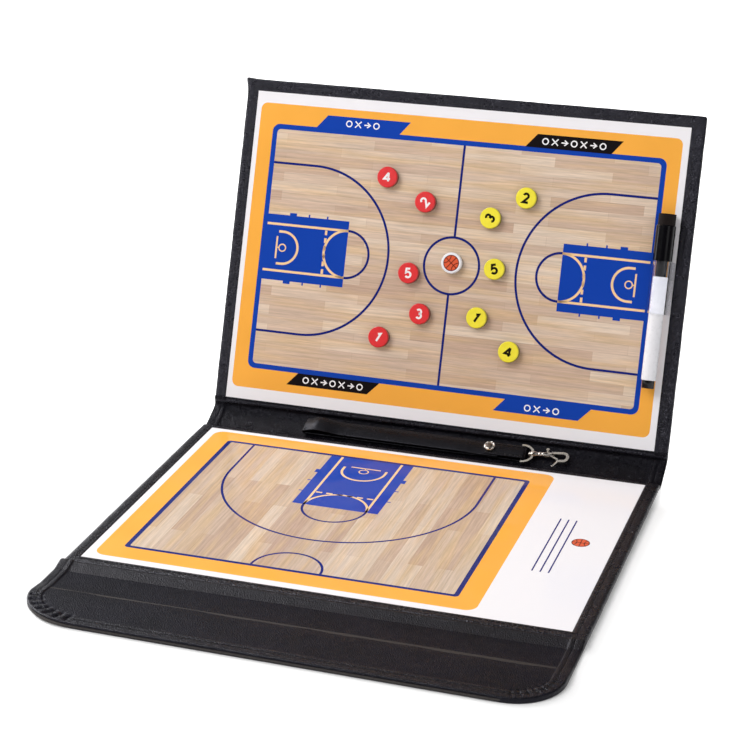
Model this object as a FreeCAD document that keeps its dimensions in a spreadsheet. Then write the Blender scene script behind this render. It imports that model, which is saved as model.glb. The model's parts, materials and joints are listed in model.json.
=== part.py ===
import FreeCAD, Part
import math
import os
from enum import IntEnum
from types import SimpleNamespace

import Sketcher
from FreeCAD import Placement, Rotation, Vector

# A folding tactics board: two stiffened boards in a leather folio, joined by a soft spine, with a
# closing flap in front, player magnets, a dry-erase marker in a clear holder and a wrist strap.
# The base board lies on the table and the cover leans back. X runs along the spine, Y from the
# flap to the cover, Z up, and the origin is under the middle of the base board's sheet.

# Driving dimensions: millimetres, and degrees for the angles
SIZES = {
    # Printed sheets and the stack of one board
    "sheet_width": 297.0,
    "sheet_depth": 210.0,
    "border": 8.0,
    "fold_border": 4.0,
    "corner_round": 3.0,
    "skin": 0.8,
    "board": 2.0,
    "hem": 1.0,
    "hem_bevel": 0.6,
    "steel": 0.3,
    "printed": 0.4,
    "window_gap": 0.2,
    # Leather folds
    "fold_gap": 1.0,
    "fold_clearance": 0.2,
    "spine_width": 24.4,
    "spine_slope": 25.1,
    "spine_sag": 2.0,
    "spine_hem_inset": 4.2,
    "cover_angle": 70.4,
    # Closing flap
    "flap_fold_gap": 2.0,
    "flap_overhang": 1.5,
    "flap_depth": 41.7,
    "flap_round": 36.0,
    "flap_board": 1.2,
    "flap_lining": 0.6,
    "flap_hem": 0.6,
    "flap_hem_width": 9.0,
    "flap_start": 1.6,
    "flap_clearance": 0.4,
    "flap_skew": 5.0,
    "flap_magnet_length": 30.0,
    "flap_magnet_width": 10.0,
    "flap_magnet_spacing": 180.0,
    # Player magnets
    "magnet_radius": 7.0,
    "magnet_foot_radius": 6.8,
    "magnet_foot": 1.6,
    "magnet_cap": 3.4,
    "magnet_cap_bevel": 0.5,
    "magnet_gap": 0.05,
    # Dry-erase marker, measured along its axis from the cap's mouth
    "marker_inset": 7.9,
    "marker_seat": 17.7,
    "marker_height": 6.6,
    "barrel_radius": 4.85,
    "barrel_bore": 3.6,
    "barrel_length": 67.0,
    "barrel_bevel": 0.4,
    "plug_radius": 3.3,
    "plug_length": 5.2,
    "plug_insert": 7.0,
    "press_gap": 0.05,
    "collar_length": 10.3,
    "seal_radius": 4.55,
    "seal_start": 1.5,
    "seal_length": 2.0,
    "snout_length": 7.0,
    "snout_radius": 2.3,
    "nib_radius": 1.4,
    "nib_length": 14.0,
    "nib_reach": 4.0,
    "nib_point": 0.5,
    "ink_radius": 3.2,
    "ink_end_gap": 5.0,
    "cap_radius": 6.3,
    "cap_bore": 4.6,
    "cap_length": 23.1,
    "cap_roof": 2.4,
    "cap_bevel": 0.5,
    "eraser_radius": 5.65,
    "eraser_length": 7.3,
    # Clear sleeve that holds the marker
    "sleeve_bore": 5.05,
    "sleeve_wall": 0.7,
    "sleeve_length": 34.0,
    "sleeve_flange": 7.8,
    "sleeve_base": 0.8,
    "sleeve_seat_gap": 0.2,
    # Share of the full half-round that an arched or folded end is rounded to
    "arch_share": 0.97,
    # Wrist strap, measured from the bar of its ring
    "strap_width": 12.0,
    "strap_layer": 1.1,
    "strap_loop_gap": 1.4,
    "strap_reach": 151.3,
    "strap_taper": 20.0,
    "strap_joint": 10.0,
    "strap_rest_gap": 0.3,
    "tab_width": 10.8,
    "tab_reach": 25.7,
    "ring_place": 63.7,
    "ring_tilt": 7.0,
    "rivet_place": 21.9,
    "rivet_head_radius": 3.8,
    "rivet_crest_radius": 3.3,
    "rivet_crest": 1.0,
    "rivet_dish_radius": 2.7,
    "rivet_dish": 0.75,
    "rivet_post_radius": 1.2,
    "rivet_back_radius": 3.0,
    "rivet_back": 0.5,
    # Swivel ring and trigger hook, measured from the outer face of the ring's collar
    "ring_radius": 7.1,
    "ring_wire": 0.75,
    "collar_boss_radius": 2.2,
    "collar_boss_length": 2.7,
    "stem_radius": 0.9,
    "running_gap": 0.07,
    "swivel_play": 0.15,
    "stem_head_radius": 1.6,
    "stem_head": 1.1,
    "neck_radius": 2.1,
    "neck_length": 1.3,
    "hook_barrel_radius": 1.7,
    "hook_barrel_length": 12.0,
    "rib_radius": 2.0,
    "rib_length": 0.9,
    "rib_pitch": 2.2,
    "claw_wire": 0.95,
    "claw_offset": 1.0,
    "claw_reach": 18.2,
    "claw_radius": 3.4,
    "claw_return": 3.0,
    "guard_length": 5.6,
    "guard_angle": 232.0,
    "guard_root_radius": 0.9,
    "guard_tip_radius": 0.4,
    "slot_width": 1.4,
    "slot_start": 6.3,
    "slot_step": 9.9,
    "slot_roof": 0.6,
    "pivot_place": 9.0,
    "pivot_drop": 0.3,
    "pin_radius": 0.5,
    "lever_thick": 1.1,
    "lever_half_width": 0.6,
    "gate_length": 7.2,
    "gate_angle": -32.8,
    "thumb_length": 4.0,
    "thumb_angle": 102.0,
    "thumb_roll_radius": 1.1,
    "thumb_roll_width": 2.6,
    # One overrun for every cut
    "overrun": 5.0,
}

# Where the magnets stand on the cover, as shares of the sheet's width and depth from its middle
MAGNET_PLACE_SHARES = {
    "red_1": (-0.147, -0.249),
    "red_2": (-0.073, 0.193),
    "red_3": (-0.058, -0.161),
    "red_4": (-0.167, 0.260),
    "red_5": (-0.094, -0.036),
    "yellow_1": (0.074, -0.153),
    "yellow_2": (0.156, 0.236),
    "yellow_3": (0.080, 0.163),
    "yellow_4": (0.155, -0.248),
    "yellow_5": (0.102, 0.005),
    "ball": (0.003, 0.010),
}

HOOK_RIBS = 2
MAGNET_SIDES = 28

doc = FreeCAD.newDocument("TacticsBoard")
sheet = doc.addObject("Spreadsheet::Sheet", "Sizes")
for row, (alias, number) in enumerate(SIZES.items(), start=1):
    sheet.set(f"A{row}", alias)
    sheet.set(f"B{row}", str(number))
    sheet.setAlias(f"B{row}", alias)
doc.recompute()


class Vertex(IntEnum):
    """The numbers that a sketch gives to the two ends of a line or an arc."""

    START = 1
    END = 2


class Size:
    """A length or an angle that keeps its value together with its formula in the sheet."""

    def __init__(self, value, formula):
        self.value = value
        self.formula = formula

    def __float__(self):
        return float(self.value)

    def __neg__(self):
        return Size(-self.value, f"(-{self.formula})")

    def __add__(self, other):
        other = size_of(other)
        return Size(self.value + other.value, f"({self.formula} + {other.formula})")

    def __sub__(self, other):
        other = size_of(other)
        return Size(self.value - other.value, f"({self.formula} - {other.formula})")

    def __mul__(self, other):
        other = size_of(other)
        return Size(self.value * other.value, f"({self.formula} * {other.formula})")

    def __truediv__(self, other):
        other = size_of(other)
        return Size(self.value / other.value, f"({self.formula} / {other.formula})")


def size_of(item):
    """A plain number counts as a size that stands for itself."""
    if isinstance(item, Size):
        return item
    return Size(float(item), repr(float(item)))


def cosine(angle):
    return Size(math.cos(math.radians(angle.value)), f"cos({angle.formula})")


def sine(angle):
    return Size(math.sin(math.radians(angle.value)), f"sin({angle.formula})")


dim = SimpleNamespace(**{alias: Size(sheet.get(alias), f"Sizes.{alias}") for alias in SIZES})
zero = size_of(0)
X_AXIS = Vector(1, 0, 0)
Y_AXIS = Vector(0, 1, 0)
Z_AXIS = Vector(0, 0, 1)
subparts = []


def at(x, y, z, axis=Z_AXIS, angle=0):
    """A place in its carrier's frame, turned about one axis."""
    return Placement(Vector(float(x), float(y), float(z)), Rotation(axis, float(angle)))


def keep(item, label, place):
    """Names a finished sub-part, sets it in its place and lists it for export."""
    item.Label = label
    item.Placement = place
    subparts.append(item)
    return item


def sketch_on(body, role):
    sketch = body.newObject("Sketcher::SketchObject", f"{body.Name}_sketch")
    plane = next(item for item in body.Origin.OriginFeatures if item.Role == role)
    sketch.AttachmentSupport = (plane, "")
    sketch.MapMode = "FlatFace"
    return sketch


def bind(sketch, constraint, formula):
    index = sketch.addConstraint(constraint)
    sketch.setExpression(f"Constraints[{index}]", formula)


def locate(sketch, geometry, vertex, x, y):
    """Holds one vertex at the sheet's x and y."""
    bind(sketch, Sketcher.Constraint("DistanceX", geometry, vertex, float(x)), x.formula)
    bind(sketch, Sketcher.Constraint("DistanceY", geometry, vertex, float(y)), y.formula)


def outline(sketch, corners):
    """Draws a closed outline, anticlockwise, through corners (x, y) or (x, y, radius)."""
    corners = [tuple(size_of(value) for value in corner) for corner in corners]
    spots = [Vector(float(corner[0]), float(corner[1]), 0) for corner in corners]
    count = len(corners)
    arrivals, departures, centres = [], [], []
    for index, spot in enumerate(spots):
        back = (spots[index - 1] - spot).normalize()
        ahead = (spots[(index + 1) % count] - spot).normalize()
        half = back.getAngle(ahead) / 2
        radius = float(corners[index][2]) if len(corners[index]) > 2 else 0
        arrivals.append(spot + back * (radius / math.tan(half)))
        departures.append(spot + ahead * (radius / math.tan(half)))
        centres.append(spot + (back + ahead).normalize() * (radius / math.sin(half)))
    sides = [
        sketch.addGeometry(Part.LineSegment(departures[index], arrivals[(index + 1) % count]))
        for index in range(count)
    ]
    for index, corner in enumerate(corners):
        before, after = sides[index - 1], sides[index]
        if len(corner) == 2:
            sketch.addConstraint(Sketcher.Constraint("Coincident", before, Vertex.END, after, Vertex.START))
            locate(sketch, after, Vertex.START, *corner)
            continue
        left_turn = (spots[index] - spots[index - 1]).cross(spots[(index + 1) % count] - spots[index]).z > 0
        arc_ends = (arrivals[index], departures[index])
        first, last = arc_ends if left_turn else reversed(arc_ends)
        spoke_first, spoke_last = first - centres[index], last - centres[index]
        circle = Part.Circle(centres[index], Z_AXIS, float(corner[2]))
        arc = sketch.addGeometry(Part.ArcOfCircle(
            circle,
            math.atan2(spoke_first.y, spoke_first.x),
            math.atan2(spoke_last.y, spoke_last.x),
        ))
        arc_in, arc_out = (Vertex.START, Vertex.END) if left_turn else (Vertex.END, Vertex.START)
        sketch.addConstraint(Sketcher.Constraint("Tangent", before, Vertex.END, arc, arc_in))
        sketch.addConstraint(Sketcher.Constraint("Tangent", after, Vertex.START, arc, arc_out))
        bind(sketch, Sketcher.Constraint("Radius", arc, float(corner[2])), corner[2].formula)
        mark = sketch.addGeometry(Part.Point(spots[index]), True)
        sketch.addConstraint(Sketcher.Constraint("PointOnObject", mark, Vertex.START, before))
        sketch.addConstraint(Sketcher.Constraint("PointOnObject", mark, Vertex.START, after))
        locate(sketch, mark, Vertex.START, corner[0], corner[1])


def rectangle(low_x, high_x, low_y, high_y, *radius):
    return [
        (low_x, low_y, *radius),
        (high_x, low_y, *radius),
        (high_x, high_y, *radius),
        (low_x, high_y, *radius),
    ]


def padded(name, corners, height, role="XY_Plane", midplane=False):
    """A body made by padding one outline."""
    body = doc.addObject("PartDesign::Body", name)
    sketch = sketch_on(body, role)
    outline(sketch, corners)
    pad = body.newObject("PartDesign::Pad", f"{name}_pad")
    pad.Profile = sketch
    pad.Midplane = midplane
    pad.setExpression("Length", size_of(height).formula)
    doc.recompute()
    return body


def pocketed(body, corners, depth, role="XY_Plane", midplane=False):
    """Cuts an outline into a body, from its sketch plane into the solid."""
    before = body.Shape.Volume
    sketch = sketch_on(body, role)
    outline(sketch, corners)
    pocket = body.newObject("PartDesign::Pocket", f"{body.Name}_pocket")
    pocket.Profile = sketch
    pocket.Midplane = midplane
    pocket.Reversed = not midplane
    pocket.setExpression("Length", size_of(depth).formula)
    doc.recompute()
    if body.Shape.Volume >= before:
        raise RuntimeError(f"a pocket in {body.Name} cuts nothing")
    return body


def turned(name, corners):
    """A body turned about its own Z axis from an outline of (radius, height) corners."""
    body = doc.addObject("PartDesign::Body", name)
    sketch = sketch_on(body, "XZ_Plane")
    outline(sketch, corners)
    revolution = body.newObject("PartDesign::Revolution", f"{name}_turn")
    revolution.Profile = sketch
    revolution.ReferenceAxis = (sketch, ["V_Axis"])
    revolution.Angle = 360
    doc.recompute()
    return body


def bevelled(body, picks, bevel):
    """Bevels the edges of a body that a test picks."""
    tip = body.Tip
    names = [f"Edge{index}" for index, edge in enumerate(tip.Shape.Edges, start=1) if picks(edge)]
    chamfer = body.newObject("PartDesign::Chamfer", f"{body.Name}_bevel")
    chamfer.Base = (tip, names)
    chamfer.setExpression("Size", bevel.formula)
    doc.recompute()
    return body


def low_edge(radius, height, bevel):
    """The two corners of a turned outline's bevelled lower rim."""
    return [(radius - bevel, height), (radius, height + bevel)]


def high_edge(radius, height, bevel):
    """The two corners of a turned outline's bevelled upper rim."""
    return [(radius, height - bevel), (radius - bevel, height)]


def cylinder(name, radius, height, place, angle=None):
    item = doc.addObject("Part::Cylinder", name)
    item.setExpression("Radius", size_of(radius).formula)
    item.setExpression("Height", size_of(height).formula)
    if angle is not None:
        item.setExpression("Angle", angle.formula)
    item.Placement = place
    return item


def box(name, length, width, height, place):
    item = doc.addObject("Part::Box", name)
    item.setExpression("Length", length.formula)
    item.setExpression("Width", width.formula)
    item.setExpression("Height", height.formula)
    item.Placement = place
    return item


def fused(name, items):
    joined = doc.addObject("Part::MultiFuse", name)
    joined.Shapes = items
    joined.Refine = True
    return joined


def cut(name, body, tool):
    result = doc.addObject("Part::Cut", name)
    result.Base = body
    result.Tool = tool
    result.Refine = True
    return result


# Shared sizes of the boards, the folds and the frames that everything sits in
sheet_half_width = dim.sheet_width / 2
sheet_half_depth = dim.sheet_depth / 2
panel_half_width = sheet_half_width + dim.border
panel_free_reach = sheet_half_depth + dim.border
panel_fold_reach = sheet_half_depth + dim.fold_border
print_face = dim.skin + dim.board + dim.steel + dim.printed
fold_end = dim.skin / 2 + dim.fold_clearance

low_fold_y = panel_fold_reach + dim.fold_gap
fold_z = dim.skin / 2
high_fold_y = low_fold_y + dim.spine_width * cosine(dim.spine_slope)
high_fold_z = fold_z + dim.spine_width * sine(dim.spine_slope)
spine_place = at(0, low_fold_y, fold_z, X_AXIS, dim.spine_slope)
cover_place = at(0, high_fold_y, high_fold_z, X_AXIS, dim.cover_angle) * at(
    0, panel_fold_reach + dim.fold_gap, -fold_z
)


def panel(name, place, low_reach, high_reach, skin_outline):
    """One stiff board of the folio: outer skin, board, turned hem, steel sheet and printed sheet."""
    outer = rectangle(-panel_half_width, panel_half_width, -low_reach, high_reach, dim.corner_round)
    inner_width = panel_half_width - dim.hem
    inner = rectangle(-inner_width, inner_width, dim.hem - low_reach, high_reach - dim.hem)
    window_width = sheet_half_width + dim.window_gap
    window_depth = sheet_half_depth + dim.window_gap
    window = rectangle(-window_width, window_width, -window_depth, window_depth)
    printed = rectangle(-sheet_half_width, sheet_half_width, -sheet_half_depth, sheet_half_depth)

    keep(padded(f"{name}_skin", skin_outline, dim.skin), f"{name}_skin", place)
    board = padded(f"{name}_board", inner, dim.board)
    keep(board, f"{name}_board", place * at(0, 0, dim.skin))

    hem_height = dim.board + dim.hem
    hem = padded(f"{name}_hem", outer, hem_height)
    pocketed(hem, inner, dim.board)
    pocketed(hem, window, hem_height + dim.overrun)

    def on_outer_rim(edge):
        box_of = edge.BoundBox
        on_top = box_of.ZMin > float(hem_height) - float(dim.hem) / 2
        return on_top and (abs(edge.CenterOfMass.x) > float(window_width) + float(dim.hem)
                           or edge.CenterOfMass.y < -float(window_depth) - float(dim.hem)
                           or edge.CenterOfMass.y > float(window_depth) + float(dim.hem))

    bevelled(hem, on_outer_rim, dim.hem_bevel)
    keep(hem, f"{name}_hem", place * at(0, 0, dim.skin))
    steel = padded(f"{name}_steel", printed, dim.steel)
    keep(steel, f"{name}_steel", place * at(0, 0, dim.skin + dim.board))
    print_sheet = padded(f"{name}_print", printed, dim.printed)
    keep(print_sheet, f"{name}_print", place * at(0, 0, dim.skin + dim.board + dim.steel))


def spine():
    """The soft back of the folio: a sagging strip of skin with a rounded end on each fold."""
    half_span = dim.spine_width / 2
    bend_radius = (half_span * half_span + dim.spine_sag * dim.spine_sag) / (dim.spine_sag * 2)
    half_bend = Size(
        math.degrees(math.asin(half_span.value / bend_radius.value)),
        f"asin({half_span.formula} / {bend_radius.formula})",
    )
    width = panel_half_width * 2

    def sector(name, radius, length, low_x, half_angle):
        # A slice of a round bar along X, opening downwards about the middle of the span
        centre = at(low_x, half_span, bend_radius - dim.spine_sag, Y_AXIS, 90)
        turn = at(0, 0, 0, Z_AXIS, -float(half_angle))
        return cylinder(name, radius, length, centre * turn, half_angle * 2)

    def strip(name, inside, outside, length, low_x, half_angle):
        return cut(
            name,
            sector(f"{name}_outside", outside, length, low_x, half_angle),
            sector(f"{name}_inside", inside, length, low_x, half_angle),
        )

    inside = bend_radius - dim.skin / 2
    outside = bend_radius + dim.skin / 2
    sheet_strip = strip("spine_sheet", inside, outside, width, -panel_half_width, half_bend)
    ends = [
        cylinder(f"spine_end_{index}", dim.skin / 2, width, at(-panel_half_width, along, 0, Y_AXIS, 90))
        for index, along in enumerate((zero, dim.spine_width))
    ]
    keep(fused("spine_skin", [sheet_strip, *ends]), "spine_skin", spine_place)

    hem_angle = Size(
        math.degrees(math.asin((half_span.value - dim.spine_hem_inset.value) / bend_radius.value)),
        f"asin(({half_span.formula} - {dim.spine_hem_inset.formula}) / {bend_radius.formula})",
    )
    hems = [
        strip(f"spine_hem_{index}", inside - dim.hem, inside, dim.border, low_x, hem_angle)
        for index, low_x in enumerate((-panel_half_width, sheet_half_width))
    ]
    pair = doc.addObject("Part::Compound", "spine_hems")
    pair.Links = hems
    keep(pair, "spine_hems", spine_place)


def flap():
    """The closing flap: a bare strip of leather that stands up in front, then a stiffened end."""
    half_width = panel_half_width + dim.flap_overhang
    stack = dim.skin + dim.flap_board + dim.flap_lining + dim.flap_hem
    strip_length = dim.spine_width + stack + dim.flap_clearance
    near_fold_y = -(panel_free_reach + dim.flap_fold_gap)
    far_fold_y = near_fold_y - strip_length

    width = panel_half_width * 2
    flat = box("strip_flat", width, strip_length, dim.skin, at(-panel_half_width, far_fold_y, 0))
    ends = [
        cylinder(f"strip_end_{index}", dim.skin / 2, width, at(-panel_half_width, fold_y, fold_z, Y_AXIS, 90))
        for index, fold_y in enumerate((near_fold_y, far_fold_y))
    ]
    keep(fused("strip_skin", [flat, *ends]), "strip_skin", at(0, 0, 0))
    lining = padded(
        "strip_lining",
        rectangle(-panel_half_width, panel_half_width, far_fold_y + fold_end, near_fold_y - fold_end),
        dim.flap_lining,
    )
    keep(lining, "strip_lining", at(0, 0, dim.skin))

    def tongue(inset, start):
        # The flap's rounded outline, drawn in by an inset and cut off square before the fold
        front = far_fold_y - dim.flap_depth + inset
        side = half_width - inset
        radius = dim.flap_round - inset
        return [
            (-side, front, radius),
            (side, front - dim.flap_skew, radius),
            (side, far_fold_y - start),
            (-side, far_fold_y - start),
        ]

    keep(padded("flap_skin", tongue(zero, fold_end), dim.skin), "flap_skin", at(0, 0, 0))

    board = padded("flap_board", tongue(dim.hem, dim.flap_start), dim.flap_board)

    def magnet_bar(name, side, gap):
        # A flat bar let into the flap's board, or with a gap round it the hole that it fills
        length = dim.flap_magnet_length + gap * 2
        width = dim.flap_magnet_width + gap * 2
        middle = dim.flap_magnet_spacing / 2 * side
        spot = at(middle - length / 2, far_fold_y - dim.flap_depth / 2 - width / 2, 0)
        return box(name, length, width, dim.flap_board, spot)

    magnets = [magnet_bar(f"flap_magnet_{index}", side, zero) for index, side in enumerate((-1, 1))]
    holes = [magnet_bar(f"flap_hole_{index}", side, dim.press_gap) for index, side in enumerate((-1, 1))]
    keep(cut("flap_board_cut", board, fused("flap_holes", holes)), "flap_stiffener", at(0, 0, dim.skin))
    pair = doc.addObject("Part::Compound", "flap_magnets")
    pair.Links = magnets
    keep(pair, "flap_magnets", at(0, 0, dim.skin))

    lining = padded("flap_lining", tongue(dim.hem, dim.flap_start), dim.flap_lining)
    keep(lining, "flap_lining", at(0, 0, dim.skin + dim.flap_board))
    hem_height = dim.flap_board + dim.flap_lining + dim.flap_hem
    hem = padded("flap_hem", tongue(zero, dim.flap_start), hem_height)
    pocketed(hem, tongue(dim.hem, dim.flap_start - dim.overrun), dim.flap_board + dim.flap_lining)
    pocketed(hem, tongue(dim.flap_hem_width, dim.flap_start - dim.overrun), hem_height + dim.overrun)
    keep(hem, "flap_hem", at(0, 0, dim.skin))


def bevelled_prism(name, radius, height, bevel):
    """A many-sided prism with a bevelled upper rim, lofted straight through its three outlines."""
    loft = doc.addObject("Part::Loft", name)
    rims = []
    for rim_radius, rim_height in [(radius, zero), *high_edge(radius, height, bevel)]:
        rim = doc.addObject("Part::RegularPolygon", f"{name}_rim_{len(rims)}")
        rim.Polygon = MAGNET_SIDES
        rim.setExpression("Circumradius", rim_radius.formula)
        rim.setExpression("Placement.Base.z", rim_height.formula)
        rims.append(rim)
    loft.Sections = rims
    loft.Solid = True
    loft.Ruled = True
    return loft


def player_magnets():
    """Round magnets with a coloured cap over a dark foot, standing on the cover's printed face."""
    for name, (width_share, depth_share) in MAGNET_PLACE_SHARES.items():
        spot = cover_place * at(
            dim.sheet_width * width_share, dim.sheet_depth * depth_share, print_face + dim.magnet_gap
        )
        foot = doc.addObject("Part::Prism", f"foot_{name}")
        foot.Polygon = MAGNET_SIDES
        foot.setExpression("Circumradius", dim.magnet_foot_radius.formula)
        foot.setExpression("Height", dim.magnet_foot.formula)
        keep(foot, f"magnet_{name}_foot", spot)
        cap = bevelled_prism(f"cap_{name}", dim.magnet_radius, dim.magnet_cap, dim.magnet_cap_bevel)
        keep(cap, f"magnet_{name}_cap", spot * at(0, 0, dim.magnet_foot))


def marker():
    """The dry-erase marker with its cap on, hanging by the cap from the clear sleeve."""
    axis_place = cover_place * at(
        sheet_half_width - dim.marker_inset, dim.marker_seat, print_face + dim.marker_height, X_AXIS, -90
    )
    barrel_top = -dim.collar_length
    barrel_end = barrel_top - dim.barrel_length
    insert_radius = dim.barrel_bore - dim.press_gap

    barrel = turned("barrel", [
        (dim.barrel_bore, barrel_end),
        *low_edge(dim.barrel_radius, barrel_end, dim.barrel_bevel),
        (dim.barrel_radius, barrel_top),
        (dim.barrel_bore, barrel_top),
    ])
    keep(barrel, "marker_barrel", axis_place)
    plug = turned("plug", [
        (zero, barrel_end - dim.plug_length),
        *low_edge(dim.plug_radius, barrel_end - dim.plug_length, dim.barrel_bevel),
        (dim.plug_radius, barrel_end),
        (insert_radius, barrel_end),
        (insert_radius, barrel_end + dim.plug_insert),
        (zero, barrel_end + dim.plug_insert),
    ])
    keep(plug, "marker_plug", axis_place)

    snout_base = dim.seal_start + dim.seal_length
    nib_bore = dim.nib_radius + dim.press_gap
    front = turned("front", [
        (nib_bore, barrel_top - dim.plug_insert),
        (insert_radius, barrel_top - dim.plug_insert),
        (insert_radius, dim.seal_start),
        (dim.seal_radius, snout_base),
        (dim.snout_radius, snout_base + dim.snout_length),
        (nib_bore, snout_base + dim.snout_length),
    ])
    keep(front, "marker_front", axis_place)
    nib_tip = snout_base + dim.snout_length + dim.nib_reach
    nib = turned("nib", [
        (zero, nib_tip - dim.nib_length),
        (dim.nib_radius, nib_tip - dim.nib_length),
        (dim.nib_radius, nib_tip - dim.nib_radius),
        (dim.nib_point, nib_tip),
        (zero, nib_tip),
    ])
    keep(nib, "marker_nib", axis_place)
    ink_top = barrel_top - dim.plug_insert
    ink_foot = barrel_end + dim.plug_insert + dim.ink_end_gap
    ink = turned("ink", [
        (zero, ink_foot),
        (dim.ink_radius, ink_foot),
        (dim.ink_radius, ink_top),
        (zero, ink_top),
    ])
    keep(ink, "ink_reservoir", axis_place)

    cap = turned("cap", [
        (dim.cap_bore, zero),
        (dim.cap_radius, zero),
        *high_edge(dim.cap_radius, dim.cap_length, dim.cap_bevel),
        (zero, dim.cap_length),
        (zero, dim.cap_length - dim.cap_roof),
        (dim.cap_bore, dim.cap_length - dim.cap_roof),
    ])
    keep(cap, "marker_cap", axis_place)
    eraser_top = dim.cap_length + dim.eraser_length
    eraser = turned("eraser", [
        (zero, dim.cap_length),
        (dim.eraser_radius, dim.cap_length),
        (dim.eraser_radius, eraser_top),
        (zero, eraser_top),
    ])
    keep(eraser, "cap_eraser", axis_place)


def marker_sleeve():
    """The clear sleeve: a flat foot on the printed face with an arch over the marker's barrel."""
    outside = dim.sleeve_bore + dim.sleeve_wall
    arch_top = dim.marker_height + outside
    bore_top = dim.marker_height + dim.sleeve_bore
    outer_round = outside * dim.arch_share
    bore_round = dim.sleeve_bore * dim.arch_share
    sleeve = padded("sleeve", [
        (-dim.sleeve_flange, zero),
        (dim.sleeve_flange, zero),
        (dim.sleeve_flange, dim.sleeve_base),
        (outside, dim.sleeve_base),
        (outside, arch_top, outer_round),
        (-outside, arch_top, outer_round),
        (-outside, dim.sleeve_base),
        (-dim.sleeve_flange, dim.sleeve_base),
    ], dim.sleeve_length, role="XZ_Plane")
    pocketed(sleeve, [
        (-dim.sleeve_bore, dim.sleeve_base),
        (dim.sleeve_bore, dim.sleeve_base),
        (dim.sleeve_bore, bore_top, bore_round),
        (-dim.sleeve_bore, bore_top, bore_round),
    ], dim.sleeve_length, role="XZ_Plane")
    place = cover_place * at(
        sheet_half_width - dim.marker_inset, dim.marker_seat - dim.sleeve_seat_gap, print_face
    )
    keep(sleeve, "marker_sleeve", place)


def wrist_strap():
    """A doubled leather strap lying in the spine, held by a rivet in a folded tab round the ring's bar."""
    trough = dim.strap_width / dim.spine_width
    trough_floor = dim.skin / 2 - dim.spine_sag * (size_of(1) - trough * trough)
    bar_height = trough_floor + dim.strap_rest_gap + dim.strap_layer * 2 + dim.rivet_back
    bar_place = spine_place * at(dim.ring_place, dim.spine_width / 2, bar_height)

    loop_half = dim.strap_layer + dim.strap_loop_gap / 2
    loop_end = -dim.strap_reach
    joint_end = -(dim.tab_reach - dim.strap_joint)
    taper_end = -(dim.tab_reach + dim.strap_taper)
    end_round = loop_half * dim.arch_share
    hole_round = dim.strap_loop_gap / 2 * dim.arch_share
    strap = padded("strap", [
        (joint_end, dim.strap_layer),
        (-dim.tab_reach, dim.strap_layer),
        (taper_end, loop_half),
        (loop_end, loop_half, end_round),
        (loop_end, -loop_half, end_round),
        (taper_end, -loop_half),
        (-dim.tab_reach, -dim.strap_layer),
        (joint_end, -dim.strap_layer),
    ], dim.strap_width, role="XZ_Plane", midplane=True)
    pocketed(strap, [
        (-dim.tab_reach, zero),
        (taper_end, dim.strap_loop_gap / 2),
        (loop_end + dim.strap_layer, dim.strap_loop_gap / 2, hole_round),
        (loop_end + dim.strap_layer, -dim.strap_loop_gap / 2, hole_round),
        (taper_end, -dim.strap_loop_gap / 2),
    ], dim.strap_width, role="XZ_Plane", midplane=True)

    tab_half = dim.strap_layer * 2
    nose = dim.ring_wire + dim.strap_layer * 2
    tab = padded("tab", [
        (-dim.tab_reach, -tab_half),
        (nose, -tab_half, tab_half * dim.arch_share),
        (nose, tab_half, tab_half * dim.arch_share),
        (-dim.tab_reach, tab_half),
    ], dim.tab_width, role="XZ_Plane", midplane=True)
    pocketed(tab, [
        (-dim.tab_reach - dim.overrun, -dim.strap_layer),
        (nose - dim.strap_layer, -dim.strap_layer, dim.strap_layer * dim.arch_share),
        (nose - dim.strap_layer, dim.strap_layer, dim.strap_layer * dim.arch_share),
        (-dim.tab_reach - dim.overrun, dim.strap_layer),
    ], dim.tab_width, role="XZ_Plane", midplane=True)

    def punched(name, body):
        punch = cylinder(
            f"{name}_punch",
            dim.rivet_post_radius + dim.press_gap,
            tab_half * 2 + dim.overrun * 2,
            at(-dim.rivet_place, 0, -tab_half - dim.overrun),
        )
        return cut(f"{name}_punched", body, punch)

    keep(punched("strap", strap), "strap_loop", bar_place)
    keep(punched("tab", tab), "strap_tab", bar_place)

    rivet = turned("rivet", [
        (zero, -tab_half - dim.rivet_back),
        (dim.rivet_back_radius, -tab_half),
        (dim.rivet_post_radius, -tab_half),
        (dim.rivet_post_radius, tab_half),
        (dim.rivet_head_radius, tab_half),
        (dim.rivet_crest_radius, tab_half + dim.rivet_crest),
        (dim.rivet_dish_radius, tab_half + dim.rivet_dish),
        (zero, tab_half + dim.rivet_dish),
    ])
    keep(rivet, "strap_rivet", bar_place * at(-dim.rivet_place, 0, 0))
    return bar_place


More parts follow.
